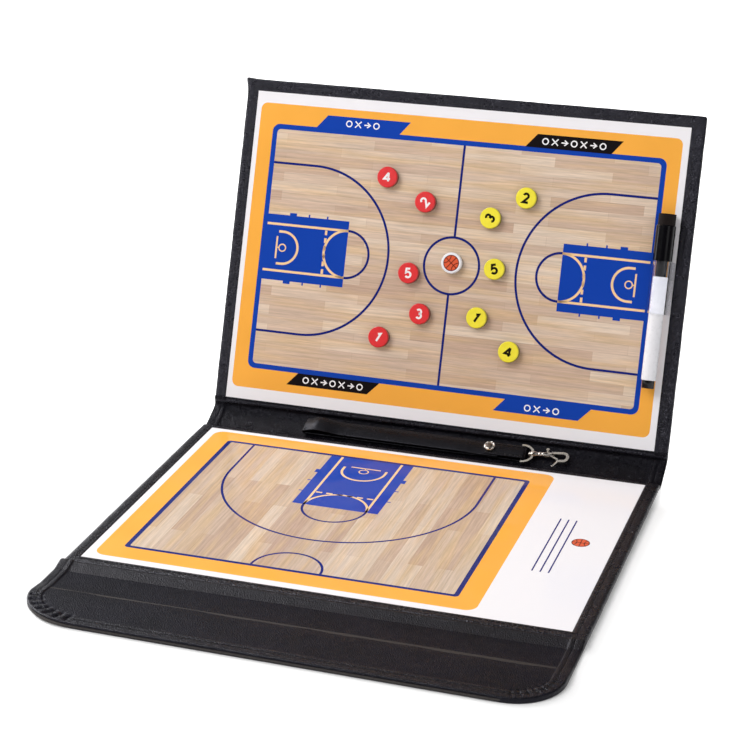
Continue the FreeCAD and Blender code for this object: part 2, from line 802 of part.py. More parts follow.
def swivel_ring(ring_place):
    """The D-shaped ring: a cast bow with a round bar across it and the collar that the hook turns in."""
    outer_half = dim.ring_radius + dim.ring_wire
    inner_half = dim.ring_radius - dim.ring_wire
    bow = padded("ring_bow", [
        (-dim.ring_wire, -outer_half),
        (outer_half, -outer_half, outer_half * dim.arch_share),
        (outer_half, outer_half, outer_half * dim.arch_share),
        (-dim.ring_wire, outer_half),
    ], dim.ring_wire * 2, midplane=True)
    pocketed(bow, [
        (-dim.ring_wire - dim.overrun, -inner_half),
        (inner_half, -inner_half, inner_half * dim.arch_share),
        (inner_half, inner_half, inner_half * dim.arch_share),
        (-dim.ring_wire - dim.overrun, inner_half),
    ], dim.ring_wire * 2, midplane=True)
    bar = cylinder("ring_bar", dim.ring_wire, dim.ring_radius * 2, at(0, -dim.ring_radius, 0, X_AXIS, -90))
    boss_start = dim.ring_radius - dim.collar_boss_length / 2
    boss = cylinder(
        "ring_boss", dim.collar_boss_radius, dim.collar_boss_length, at(boss_start, 0, 0, Y_AXIS, 90)
    )
    bore = cylinder(
        "ring_bore",
        dim.stem_radius + dim.running_gap,
        dim.collar_boss_length + dim.overrun,
        at(boss_start - dim.overrun / 2, 0, 0, Y_AXIS, 90),
    )
    solid = fused("ring_solid", [bow, bar, boss])
    keep(cut("swivel_ring", solid, bore), "swivel_ring", ring_place)


def trigger_hook(hook_place):
    """The trigger hook: a turned barrel on a swivel stem, a bent claw, and a sprung rocker on a pin."""
    head_end = -(dim.collar_boss_length + dim.swivel_play)
    barrel_start = dim.swivel_play + dim.neck_length
    profile = [
        (zero, head_end - dim.stem_head),
        (dim.stem_head_radius, head_end - dim.stem_head),
        (dim.stem_head_radius, head_end),
        (dim.stem_radius, head_end),
        (dim.stem_radius, dim.swivel_play),
        (dim.neck_radius, dim.swivel_play),
        (dim.hook_barrel_radius, barrel_start),
    ]
    for rib in range(1, HOOK_RIBS + 1):
        start = barrel_start + dim.rib_pitch * rib - dim.rib_length
        profile += [
            (dim.hook_barrel_radius, start),
            (dim.rib_radius, start + dim.rib_length / 2),
            (dim.hook_barrel_radius, start + dim.rib_length),
        ]
    profile += [(dim.hook_barrel_radius, dim.hook_barrel_length), (zero, dim.hook_barrel_length)]
    shaft = turned("hook_shaft", profile)
    shaft.Placement = at(0, 0, 0, Y_AXIS, 90)

    claw_start = dim.hook_barrel_length - dim.claw_wire
    claw_foot = dim.claw_offset - dim.claw_radius * 2
    outer_round = (dim.claw_radius + dim.claw_wire) * dim.arch_share
    inner_round = (dim.claw_radius - dim.claw_wire) * dim.arch_share
    outer_reach = dim.claw_reach + dim.claw_radius + dim.claw_wire
    inner_reach = outer_reach - dim.claw_wire * 2
    stub_start = dim.claw_reach - dim.claw_return
    claw = padded("claw", [
        (claw_start, dim.claw_offset - dim.claw_wire),
        (inner_reach, dim.claw_offset - dim.claw_wire, inner_round),
        (inner_reach, claw_foot + dim.claw_wire, inner_round),
        (stub_start, claw_foot + dim.claw_wire),
        (stub_start - dim.claw_wire, claw_foot),
        (stub_start, claw_foot - dim.claw_wire),
        (outer_reach, claw_foot - dim.claw_wire, outer_round),
        (outer_reach, dim.claw_offset + dim.claw_wire, outer_round),
        (claw_start, dim.claw_offset + dim.claw_wire),
    ], dim.claw_wire * 2, midplane=True)
    guard = doc.addObject("Part::Cone", "claw_guard")
    guard.setExpression("Radius1", dim.guard_root_radius.formula)
    guard.setExpression("Radius2", dim.guard_tip_radius.formula)
    guard.setExpression("Height", dim.guard_length.formula)
    guard.Placement = at(stub_start, claw_foot, 0, Z_AXIS, dim.guard_angle) * at(0, 0, 0, Y_AXIS, 90)
    solid = fused("hook_solid", [shaft, claw, guard])

    # The rocker's slot runs right through the barrel, then only under its roof towards the claw
    half_slot = dim.slot_width / 2
    through = box(
        "slot_through",
        dim.slot_step - dim.slot_start,
        dim.overrun * 2,
        dim.slot_width,
        at(dim.slot_start, -dim.overrun, -half_slot),
    )
    under = box(
        "slot_under",
        dim.hook_barrel_length + dim.claw_wire - dim.slot_start,
        dim.overrun + dim.slot_roof,
        dim.slot_width,
        at(dim.slot_start, -dim.overrun, -half_slot),
    )
    pivot = SimpleNamespace(x=dim.pivot_place, y=-dim.pivot_drop)
    pin_length = dim.hook_barrel_radius * 2
    hole_length = pin_length + dim.overrun
    pin_hole = cylinder("pin_hole", dim.pin_radius, hole_length, at(pivot.x, pivot.y, -hole_length / 2))
    body = cut("hook_cut", solid, fused("hook_cuts", [through, under, pin_hole]))
    keep(body, "hook_body", hook_place)
    pin = cylinder("hook_pin", dim.pin_radius, pin_length, at(0, 0, 0))
    keep(pin, "hook_pin", hook_place * at(pivot.x, pivot.y, -pin_length / 2))

    def arm(name, length, angle):
        # A flat arm of the rocker from the pin outwards
        item = box(
            name, length, dim.lever_half_width * 2, dim.lever_thick, at(0, 0, 0)
        )
        item.Placement = at(0, 0, 0, Z_AXIS, angle) * at(0, -dim.lever_half_width, -dim.lever_thick / 2)
        return item

    hub = cylinder("lever_hub", dim.pin_radius * 2, dim.lever_thick, at(0, 0, -dim.lever_thick / 2))
    roll_place = at(0, 0, 0, Z_AXIS, dim.thumb_angle) * at(dim.thumb_length, 0, -dim.thumb_roll_width / 2)
    roll = cylinder("thumb_roll", dim.thumb_roll_radius, dim.thumb_roll_width, roll_place)
    rocker = fused("lever_solid", [
        arm("gate_arm", dim.gate_length, dim.gate_angle),
        arm("thumb_arm", dim.thumb_length, dim.thumb_angle),
        hub,
        roll,
    ])
    eye = cylinder(
        "lever_eye",
        dim.pin_radius + dim.running_gap,
        dim.lever_thick + dim.overrun,
        at(0, 0, -(dim.lever_thick + dim.overrun) / 2),
    )
    keep(cut("gate_lever", rocker, eye), "gate_lever", hook_place * at(pivot.x, pivot.y, 0))


skin_fold_reach = low_fold_y - fold_end
skin_flap_reach = panel_free_reach + dim.flap_fold_gap - fold_end
base_skin = rectangle(-panel_half_width, panel_half_width, -skin_flap_reach, skin_fold_reach)
cover_skin = [
    (-panel_half_width, -skin_fold_reach),
    (panel_half_width, -skin_fold_reach),
    (panel_half_width, panel_free_reach, dim.corner_round),
    (-panel_half_width, panel_free_reach, dim.corner_round),
]
panel("base", at(0, 0, 0), panel_free_reach, panel_fold_reach, base_skin)
spine()
panel("cover", cover_place, panel_fold_reach, panel_free_reach, cover_skin)
flap()
player_magnets()
marker()
marker_sleeve()
strap_place = wrist_strap()
ring_frame = strap_place * at(0, 0, 0, Z_AXIS, dim.ring_tilt)
swivel_ring(ring_frame)
trigger_hook(ring_frame * at(dim.ring_radius + dim.collar_boss_length / 2, 0, 0))

doc.recompute()
faults = [item.Name for item in doc.Objects if "Invalid" in item.State or "Error" in item.State]
faults += [item.Label for item in subparts if item.Shape.isNull() or not item.Shape.isValid()]
if faults:
    raise RuntimeError(f"these objects failed: {faults}")

os.makedirs("parts", exist_ok=True)
for item in subparts:
    item.Shape.exportStep(os.path.join("parts", f"{item.Label}.step"))
print(len(subparts), "sub-parts written")
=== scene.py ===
"""Looks of the tactics board: leather folio, printed courts, magnets, marker and wrist strap."""

import json
import math
from types import SimpleNamespace

import bmesh
import bpy
from mathutils import Matrix, Vector, noise


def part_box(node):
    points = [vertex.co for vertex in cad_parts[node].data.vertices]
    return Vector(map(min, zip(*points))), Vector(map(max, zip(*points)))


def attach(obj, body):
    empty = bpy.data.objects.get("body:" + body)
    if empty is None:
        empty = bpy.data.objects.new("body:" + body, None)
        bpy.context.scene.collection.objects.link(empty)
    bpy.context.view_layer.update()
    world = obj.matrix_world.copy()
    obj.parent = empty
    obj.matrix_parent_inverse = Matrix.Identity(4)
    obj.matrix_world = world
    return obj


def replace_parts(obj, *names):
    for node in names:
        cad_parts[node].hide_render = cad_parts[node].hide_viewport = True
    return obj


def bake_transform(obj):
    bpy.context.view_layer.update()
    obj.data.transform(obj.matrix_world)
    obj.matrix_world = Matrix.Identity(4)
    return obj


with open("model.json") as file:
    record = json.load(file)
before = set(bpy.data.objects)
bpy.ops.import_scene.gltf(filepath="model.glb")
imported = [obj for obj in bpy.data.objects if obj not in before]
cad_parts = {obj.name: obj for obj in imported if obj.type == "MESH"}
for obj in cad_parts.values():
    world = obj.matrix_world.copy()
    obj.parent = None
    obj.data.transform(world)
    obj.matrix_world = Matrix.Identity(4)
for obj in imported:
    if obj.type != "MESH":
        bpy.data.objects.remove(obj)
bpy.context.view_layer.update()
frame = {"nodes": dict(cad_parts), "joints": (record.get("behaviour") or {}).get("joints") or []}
nodes = frame["nodes"]
joints = {joint["name"]: joint for joint in frame["joints"]}

# Sizes are in millimetres, and the frame is in metres
MM = 0.001

# Leather: turned hems, their stitching and the folds
HEM_WIDTH = 8.6
HEM_RISE = 0.55
HEM_FALL_START = 0.7
HEM_FALL_END = 0.2
EDGE_ROUND = 1.1
EDGE_DROP = 0.8
STITCH_INSET = 5.4
STITCH_PITCH = 3.3
STITCH_LENGTH = 2.3
STITCH_RADIUS = 0.42
STITCH_SIDES = 6
STITCH_RINGS = ((-0.5, 0.35), (-0.3, 0.9), (0.3, 0.9), (0.5, 0.35))
GROOVE_DEPTH = 0.22
GROOVE_WIDTH = 0.5
WOBBLE = 0.14
EDGE_WAVER = 0.22
WOBBLE_LENGTH = 24.0
SKIN = 0.4
LINING_LIFT = 0.75
FOLD_REACH = 1.6

# Prints: each ink lies a little higher than the one below it
INK_STEP = 0.008
LINE = 1.6
ARC_STEPS = 40

# Meshes: lengths too small to keep, in the mesh's own unit, the angle of a sharp edge, a band's crown
MERGE_REACH = 1e-7
SLIVER = 1e-8
SHORTEST_RUN = 1e-9
SHARP_ANGLE = 50.0
CROWN_SHARE = 1.15

# Camera, fitted to both printed sheets in the photo
CAMERA_PLACE = (363.946, -1158.524, 567.723)
CAMERA_AZIMUTH = 17.452
CAMERA_ELEVATION = 21.1206
CAMERA_ROLL = 0.5546
CAMERA_LENS = 104.25
CAMERA_SENSOR = 36.0


# Small geometry


def smoothstep(start, end, value):
    """0 before start, 1 after end, and a smooth rise between them."""
    share = min(max((value - start) / (end - start), 0.0), 1.0)
    return share * share * (3.0 - 2.0 * share)


def interpolate(points, value):
    """The height of a smooth line through (place, height) points, at a place."""
    if value <= points[0][0]:
        return points[0][1]
    for (a, low), (b, high) in zip(points, points[1:]):
        if value <= b:
            return low + (high - low) * smoothstep(a, b, value)
    return points[-1][1]


def spread(start, end, count):
    """Evenly spaced numbers from start to end, both included."""
    return [start + (end - start) * i / (count - 1) for i in range(count)]


def arc(centre, radius, start, end, steps=ARC_STEPS):
    """Points on an arc, angles in degrees."""
    angles = [math.radians(a) for a in spread(start, end, steps + 1)]
    return [(centre[0] + radius * math.cos(a), centre[1] + radius * math.sin(a)) for a in angles]


def circle(centre, radius, steps=ARC_STEPS):
    """Points round a whole circle, the first one not repeated."""
    return arc(centre, radius, 0, 360, steps)[:-1]


def rounded(left, right, low, high, radius, steps=8):
    """Outline of a rectangle with round corners."""
    corners = (
        (right - radius, high - radius, 0),
        (left + radius, high - radius, 90),
        (left + radius, low + radius, 180),
        (right - radius, low + radius, 270),
    )
    return [p for x, y, a in corners for p in arc((x, y), radius, a, a + 90, steps)]


def ripple(x, y, seed):
    """Slow unevenness of leather, between about -1 and 1."""
    return noise.noise(Vector((x / WOBBLE_LENGTH, y / WOBBLE_LENGTH, seed)))


class Face:
    """A flat face of the model: x across, y up the face, z off it, in mm from a point on it."""

    def __init__(self, node, up):
        self.across = Vector((1, 0, 0))
        self.up = Vector(up).normalized()
        self.normal = self.across.cross(self.up)
        self.origin = Vector((0, 0, 0))
        low, high = self.extent(node)
        middle = (low + high) / 2
        self.origin = self.world(middle.x, middle.y, high.z)

    def local(self, point):
        """A point of the frame, in metres, as mm on this face."""
        away = (point - self.origin) / MM
        return Vector((away.dot(self.across), away.dot(self.up), away.dot(self.normal)))

    def extent(self, node):
        """Lowest and highest corner of a node, in mm on this face."""
        points = [self.local(v.co) for v in nodes[node].data.vertices]
        low = Vector(min(p[i] for p in points) for i in range(3))
        high = Vector(max(p[i] for p in points) for i in range(3))
        return low, high

    def world(self, x, y, z):
        """A place on this face, in metres in the frame."""
        return self.origin + (self.across * x + self.up * y + self.normal * z) * MM

    def matrix(self, x=0.0, y=0.0, z=0.0, turn=0.0):
        """The frame of a mesh in mm that lies on this face, turned about the face's normal."""
        axes = Matrix((self.across, self.up, self.normal)).transposed().to_4x4()
        place = Matrix.Translation(self.world(x, y, z))
        return place @ axes @ Matrix.Rotation(math.radians(turn), 4, "Z") @ Matrix.Scale(MM, 4)


BOARD_UP = Vector((0, 1, 0))
COVER_UP = Vector(joints["magnet_red_1_slide"]["axis"])
base_face = Face("base_print", BOARD_UP)
cover_face = Face("cover_print", COVER_UP)


# Meshes and pieces


def added(name, data):
    """A new object in the scene."""
    made = bpy.data.objects.new(name, data)
    bpy.context.scene.collection.objects.link(made)
    return made


def piece(name, mesh, material):
    """A piece of the scene from a mesh, with its material."""
    mesh.materials.clear()
    mesh.materials.append(material)
    made = added(name, mesh)
    return made


def finished(name, vertices, faces):
    """A mesh with its faces turned outwards, smooth but for its sharp edges."""
    mesh = bpy.data.meshes.new(name)
    mesh.from_pydata(vertices, [], faces)
    work = bmesh.new()
    work.from_mesh(mesh)
    bmesh.ops.remove_doubles(work, verts=work.verts, dist=MERGE_REACH)
    bmesh.ops.dissolve_degenerate(work, edges=work.edges, dist=SLIVER)
    bmesh.ops.recalc_face_normals(work, faces=work.faces)
    work.to_mesh(mesh)
    work.free()
    mesh.shade_smooth()
    mesh.set_sharp_from_angle(angle=math.radians(SHARP_ANGLE))
    return mesh


def tube_faces(first, count, loops):
    """Faces round closed loops of points, numbered from first, with both ends closed."""
    last = first + (loops - 1) * count
    faces = [tuple(range(end, end + count)) for end in (first, last)]
    for row in range(first, last, count):
        for i in range(count):
            a, b = row + i, row + (i + 1) % count
            faces.append((a, b, b + count, a + count))
    return faces


def loft(name, loops):
    """Closed mesh through closed loops of the same number of points."""
    vertices = [p for loop in loops for p in loop]
    return finished(name, vertices, tube_faces(0, len(loops[0]), len(loops)))


def slab(name, top, bottom):
    """Closed mesh between a top and a bottom grid of points, rows by columns."""
    rows, columns = len(top), len(top[0])
    vertices = [p for row in top for p in row] + [p for row in bottom for p in row]
    under = rows * columns
    faces = []
    for r in range(rows - 1):
        for c in range(columns - 1):
            a, b = r * columns + c, (r + 1) * columns + c
            faces.append((a, a + 1, b + 1, b))
            faces.append((under + a, under + b, under + b + 1, under + a + 1))
    rim = list(range(columns))
    rim += [r * columns + columns - 1 for r in range(1, rows)]
    rim += [(rows - 1) * columns + c for c in range(columns - 2, -1, -1)]
    rim += [r * columns for r in range(rows - 2, 0, -1)]
    for a, b in zip(rim, rim[1:] + rim[:1]):
        faces.append((a, b, under + b, under + a))
    return finished(name, vertices, faces)


def ribbon(name, path, across, half_width, half_thick, edge):
    """A flat band with rounded edges along a path in metres, its sizes in mm."""
    rim = ((edge, -1.0), (edge * 0.25, -0.7), (0.0, 0.0), (edge * 0.25, 0.7), (edge, 1.0))
    right = [(half_width - inset, half_thick * height) for inset, height in rim]
    left = [(-w, t) for w, t in reversed(right)]
    section = [*right, (0.0, half_thick * CROWN_SHARE), *left, (0.0, -half_thick)]
    loops = []
    for i, place in enumerate(path):
        along = (path[min(i + 1, len(path) - 1)] - path[max(i - 1, 0)]).normalized()
        out = across.cross(along)
        loops.append([place + (across * w + out * t) * MM for w, t in section])
    return loft(name, loops)


def add_stitches(vertices, faces, run, normal):
    """Adds the stitches along a run of points on a surface with that normal."""
    left_over = STITCH_PITCH / 2
    for start, end in zip(run, run[1:]):
        length = (end - start).length
        if length < SHORTEST_RUN:
            continue
        along = (end - start) / length
        out = (normal - along * normal.dot(along)).normalized()
        side = along.cross(out)
        while left_over < length:
            faces += tube_faces(len(vertices), STITCH_SIDES, len(STITCH_RINGS))
            for shift, size in STITCH_RINGS:
                centre = start + along * (left_over + STITCH_LENGTH * shift)
                ring = circle((0, 0), STITCH_RADIUS * size, STITCH_SIDES)
                vertices += [centre + side * x + out * y for x, y in ring]
            left_over += STITCH_PITCH
        left_over -= length


def stitching(name, runs, normal, matrix, body):
    """One piece with the stitches of several runs, which rides on a body."""
    vertices, faces = [], []
    for run in runs:
        add_stitches(vertices, faces, run, normal)
    mesh = finished(name, vertices, faces)
    mesh.transform(matrix)
    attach(piece(name, mesh, thread), body)


# Materials


def srgb(red, green, blue):
    """A colour from 0 to 255 as shaders take it."""
    shares = [value / 255 for value in (red, green, blue)]
    linear = [s / 12.92 if s <= 0.04045 else ((s + 0.055) / 1.055) ** 2.4 for s in shares]
    return (*linear, 1.0)


def shade(colour, share):
    """A colour made lighter or darker."""
    return (*[min(c * share, 1.0) for c in colour[:3]], 1.0)


class Nodes:
    """A node tree built step by step."""

    def __init__(self, tree):
        self.tree = tree

    def node(self, kind, links=None, **settings):
        """The outputs of a new node, its inputs given as links or plain values."""
        made = self.tree.nodes.new(kind)
        for key, value in settings.items():
            setattr(made, key, value)
        for socket, value in (links or {}).items():
            if isinstance(value, bpy.types.NodeSocket):
                self.tree.links.new(value, made.inputs[socket])
            else:
                made.inputs[socket].default_value = value
        return made.outputs

    def math(self, operation, first, second):
        """A number worked out from two others."""
        return self.node("ShaderNodeMath", {0: first, 1: second}, operation=operation)[0]

    def vector(self, operation, first, second=(0, 0, 0)):
        """The outputs of a node that works on vectors."""
        return self.node("ShaderNodeVectorMath", {0: first, 1: second}, operation=operation)

    def ranged(self, value, low, high, start=0.0, end=1.0):
        """A value moved from one range to another."""
        links = {"Value": value, "From Min": start, "From Max": end, "To Min": low, "To Max": high}
        return self.node("ShaderNodeMapRange", links)["Result"]


class Finish(Nodes):
    """A node material around one Principled shader."""

    NOISE_RANGE = (0.3, 0.7)

    def __init__(self, name, **sockets):
        self.material = bpy.data.materials.new(name)
        self.material.use_nodes = True
        super().__init__(self.material.node_tree)
        self.shader = self.tree.nodes["Principled BSDF"]
        for socket, value in sockets.items():
            self.shader.inputs[socket.replace("_", " ").title().replace("Ior", "IOR")].default_value = value
        self.place = self.node("ShaderNodeTexCoord")["Object"]

    def mapped(self, vector, scale, turn=0.0):
        """Texture coordinates scaled per axis and turned about the face's normal."""
        links = {"Vector": vector, "Scale": scale, "Rotation": (0, 0, math.radians(turn))}
        return self.node("ShaderNodeMapping", links)["Vector"]

    def noise(self, scale, detail=3.0, vector=None):
        """Noise between 0 and 1."""
        links = {"Vector": vector or self.place, "Scale": scale, "Detail": detail}
        return self.node("ShaderNodeTexNoise", links)["Fac"]

    def varied(self, low, high, scale, detail=3.0):
        """A number that wanders between two limits over the surface."""
        return self.ranged(self.noise(scale, detail), low, high, *self.NOISE_RANGE)

    def cells(self, scale):
        """Distance to the edges of random cells, the pebbles of leather."""
        links = {"Vector": self.place, "Scale": scale}
        return self.node("ShaderNodeTexVoronoi", links, feature="DISTANCE_TO_EDGE")["Distance"]

    def mixed(self, share, first, second, blend="MIX"):
        """Two colours mixed by a share."""
        links = {0: share, 6: first, 7: second}
        return self.node("ShaderNodeMix", links, data_type="RGBA", blend_type=blend)[2]

    def set(self, socket, value):
        """Links a value to the shader."""
        self.tree.links.new(value, self.shader.inputs[socket])

    def toned(self, colour, low, high, scale, detail=3.0):
        """Gives the surface a colour whose brightness wanders between two shares of it."""
        tone = self.varied(low, high, scale, detail)
        self.set("Base Color", self.mixed(1.0, colour, tone, "MULTIPLY"))

    def bump(self, height, distance, strength=1.0):
        """Gives the surface relief from a height."""
        links = {"Height": height, "Distance": distance, "Strength": strength}
        self.set("Normal", self.node("ShaderNodeBump", links)["Normal"])


# Textures go by the mesh's own unit, which is mm on the prints and metres elsewhere
INK_GLOSS = 0.18
LEATHER_SHEEN = (0.86, 0.85, 1.0, 1.0)
# Share of a magnet cap's colour down its side: painted shade
CAP_PAINTED_SIDE_SHADE = 0.4
COAT_ROUGH = 0.08
MOULD_RELIEF = 0.00002
WOOD_PALE = srgb(236, 215, 194)
WOOD_DEEP = srgb(206, 175, 153)
WOOD_WARM = srgb(227, 194, 153)


def leather_finish(name, colour, rough_low, rough_high, gloss, grain):
    """Black leather-look cloth: pebbled grain, fine creases, uneven sheen."""
    made = Finish(name, specular_ior_level=gloss, specular_tint=LEATHER_SHEEN)
    tone = made.varied(0, 1, 38.0, 4.0)
    made.set("Base Color", made.mixed(tone, shade(colour, 0.7), shade(colour, 1.3)))
    made.set("Roughness", made.varied(rough_low, rough_high, 160.0))
    pebbles = made.ranged(made.cells(820.0), 0, 1, 0.0, 0.36)
    made.bump(made.math("ADD", made.noise(420.0), pebbles), grain)
    return made.material


def film(made):
    """The glossy film over a print: nearly flat, with a faint change of gloss."""
    made.set("Roughness", made.varied(0.1, 0.16, 0.03, 2.0))
    made.bump(made.noise(0.02, 1.0), 0.05, 0.06)
    return made.material


def ink_finish(name, *colour):
    """Printed ink under a glossy film."""
    made = Finish(name, specular_ior_level=INK_GLOSS)
    made.toned(srgb(*colour), 0.985, 1.015, 0.03, 2.0)
    return film(made)


def wood_finish(name, plank_width, plank_length, turn, depth=1.0):
    """Printed floor of pale planks with soft grain, under the same film; a depth below 1 darkens all its
    colours as painted shade.
    """
    made = Finish(name, specular_ior_level=INK_GLOSS)
    place = made.mapped(made.place, (1, 1, 1), turn)
    planks = {
        "Vector": place,
        "Color1": shade(WOOD_PALE, depth),
        "Color2": shade(WOOD_DEEP, depth),
        "Mortar": shade(WOOD_DEEP, 0.9 * depth),
        "Scale": 1.0,
        "Mortar Size": 0.14,
        "Mortar Smooth": 1.0,
        "Brick Width": plank_length,
        "Row Height": plank_width,
    }
    brick = made.node("ShaderNodeTexBrick", planks, offset=0.37)

    def grain(along, across, detail):
        return made.noise(1.0, detail, made.mapped(place, (along, across, 1.0)))

    warm = made.ranged(grain(0.012, 0.14, 2.0), 0.0, 0.7, 0.44, 0.66)
    colour = made.mixed(warm, brick["Color"], shade(WOOD_WARM, depth))
    streaks = made.ranged(grain(0.022, 0.75, 6.0), 0.78, 1.12, 0.25, 0.75)
    fine = made.ranged(grain(0.1, 2.4, 3.0), 0.86, 1.08, 0.25, 0.75)
    for tone in (streaks, fine):
        colour = made.mixed(1.0, colour, tone, "MULTIPLY")
    made.set("Base Color", colour)
    return film(made)


def plain_finish(name, colour, rough, scale, coat=0.0, **sockets):
    """Moulded or sheet material with a faint change of tone, roughness and surface."""
    made = Finish(name, coat_weight=coat, coat_roughness=COAT_ROUGH, **sockets)
    made.toned(colour, 0.975, 1.02, scale)
    made.set("Roughness", made.varied(rough * 0.8, rough * 1.2, scale * 2.3))
    made.bump(made.noise(scale * 6, 2.0), MOULD_RELIEF, 0.4)
    return made.material


def cap_painted_shade_finish(name, colour):
    """Moulded cap of a magnet, with painted shade: its side is coloured darker than its face."""
    made = Finish(name, coat_weight=0.1, coat_roughness=COAT_ROUGH)
    normal = made.node("ShaderNodeTexCoord")["Normal"]
    facing = made.vector("DOT_PRODUCT", normal, cover_face.normal)["Value"]
    # Painted shade: the colour darkens where the surface turns from the cover's normal, down the cap's side
    face = made.mixed(made.ranged(facing, 0, 1, 0.1, 0.85), shade(colour, CAP_PAINTED_SIDE_SHADE), colour)
    made.toned(face, 0.96, 1.03, 260.0)
    made.set("Roughness", made.varied(0.28, 0.4, 600.0))
    made.bump(made.noise(1500.0, 2.0), MOULD_RELIEF, 0.4)
    return made.material


def felt_finish(name, colour):
    """Pressed fibre: matt, fuzzy and uneven."""
    made = Finish(name, sheen_weight=0.08, sheen_roughness=0.6, specular_ior_level=0.15)
    made.toned(colour, 0.6, 1.5, 1800.0, 5.0)
    made.set("Roughness", made.ranged(made.noise(900.0, 2.0), 0.85, 1.0))
    made.bump(made.noise(2600.0, 5.0), 0.0002, 0.8)
    return made.material


def clear_finish(name):
    """Thin clear plastic, a little scuffed."""
    made = Finish(name, transmission_weight=1.0, ior=1.3, specular_ior_level=0.25)
    made.set("Base Color", made.mixed(made.noise(90.0), srgb(238, 240, 244), srgb(252, 252, 254)))
    made.set("Roughness", made.varied(0.03, 0.14, 220.0))
    made.bump(made.noise(140.0, 2.0), 0.0002, 0.15)
    return made.material


leather = leather_finish("black_leather", srgb(13, 12, 19), 0.24, 0.36, 0.36, 0.0002)
# The trough's leather is a darker copy of the boards' leather: painted shade
spine_leather_painted_shade = leather_finish("spine_leather_painted_shade", srgb(9, 8, 13), 0.25, 0.32, 0.15, 0.00018)
strap_finish = leather_finish("strap_leather", srgb(8, 7, 9), 0.2, 0.28, 0.24, 0.00006)
panel_leather = leather_finish("flap_leather", srgb(15, 14, 22), 0.4, 0.54, 0.16, 0.00012)
hem_leather = leather_finish("hem_leather", srgb(14, 13, 20), 0.28, 0.4, 0.26, 0.00016)
# The strip's leather is a lighter, browner copy of the flap's: painted light on the slope that faces the
# lamps
gusset_leather_painted_light = leather_finish("gusset_leather_painted_light", srgb(20, 18, 20), 0.36, 0.5, 0.3, 0.00014)
thread = plain_finish("black_thread", srgb(10, 9, 12), 0.45, 900.0, specular_ior_level=0.4)
sheet_white = ink_finish("printed_white", 246, 243, 246)
orange_ink = ink_finish("orange_ink", 253, 178, 74)
blue_ink = ink_finish("blue_ink", 22, 67, 172)
navy_ink = ink_finish("navy_ink", 30, 40, 118)
deep_ink = ink_finish("deep_blue_ink", 26, 42, 118)
cream_ink = ink_finish("cream_ink", 250, 210, 158)
black_ink = ink_finish("black_ink", 24, 20, 22)
white_ink = ink_finish("white_ink", 248, 246, 248)
full_wood = wood_finish("full_court_planks", 6.5, 62.0, 0.0)
# The half court's wood is coloured a tenth darker: painted shade on the base's sheet
half_wood_painted_shade = wood_finish("half_court_planks", 9.4, 84.0, 90.0, 0.9)
red_plastic = cap_painted_shade_finish("red_plastic", srgb(230, 44, 48))
yellow_plastic = cap_painted_shade_finish("yellow_plastic", srgb(250, 234, 54))
white_plastic = plain_finish("white_plastic", srgb(244, 243, 247), 0.3, 180.0, 0.25)
black_plastic = plain_finish("black_plastic", srgb(7, 6, 10), 0.2, 180.0, specular_ior_level=0.25)
core_finish = plain_finish("magnet_core", srgb(46, 40, 38), 0.6, 500.0)
steel_finish = plain_finish("sheet_steel", srgb(150, 150, 155), 0.35, 300.0, metallic=1.0)
card_finish = plain_finish("stiff_card", srgb(150, 138, 120), 0.8, 500.0)
nickel = plain_finish("bright_nickel", srgb(222, 215, 207), 0.18, 420.0, metallic=1.0)
# A darker copy of the nickel for the rivet's dish: painted shade
nickel_painted_shade = plain_finish("nickel_painted_shade", srgb(112, 102, 94), 0.3, 420.0, metallic=1.0)
eraser_felt = felt_finish("black_felt", srgb(20, 11, 9))
nib_felt = felt_finish("ink_felt", srgb(30, 30, 34))
sleeve_clear = clear_finish("clear_sleeve")
ball_ink = ink_finish("ball_ink", 226, 96, 62)
seam_ink = ink_finish("seam_ink", 104, 44, 36)
red_number = ink_finish("number_white", 250, 244, 244)
yellow_number = ink_finish("number_black", 30, 28, 20)


# Leather wraps of the two boards

# Inset from the board's edge and height over the printed sheet, from the underside to the window
WRAP_PROFILE = (
    (10.0, -3.5), (0.9, -3.5), (0.25, -3.2), (0.0, -2.4), (0.0, -1.1), (0.25, -0.25), (0.9, 0.2),
    (2.2, 0.4), (4.2, 0.38), (4.9, 0.28), (STITCH_INSET, 0.12), (5.9, 0.28), (6.8, 0.32), (7.45, 0.2),
    (7.75, 0.0), (7.78, -0.6),
)


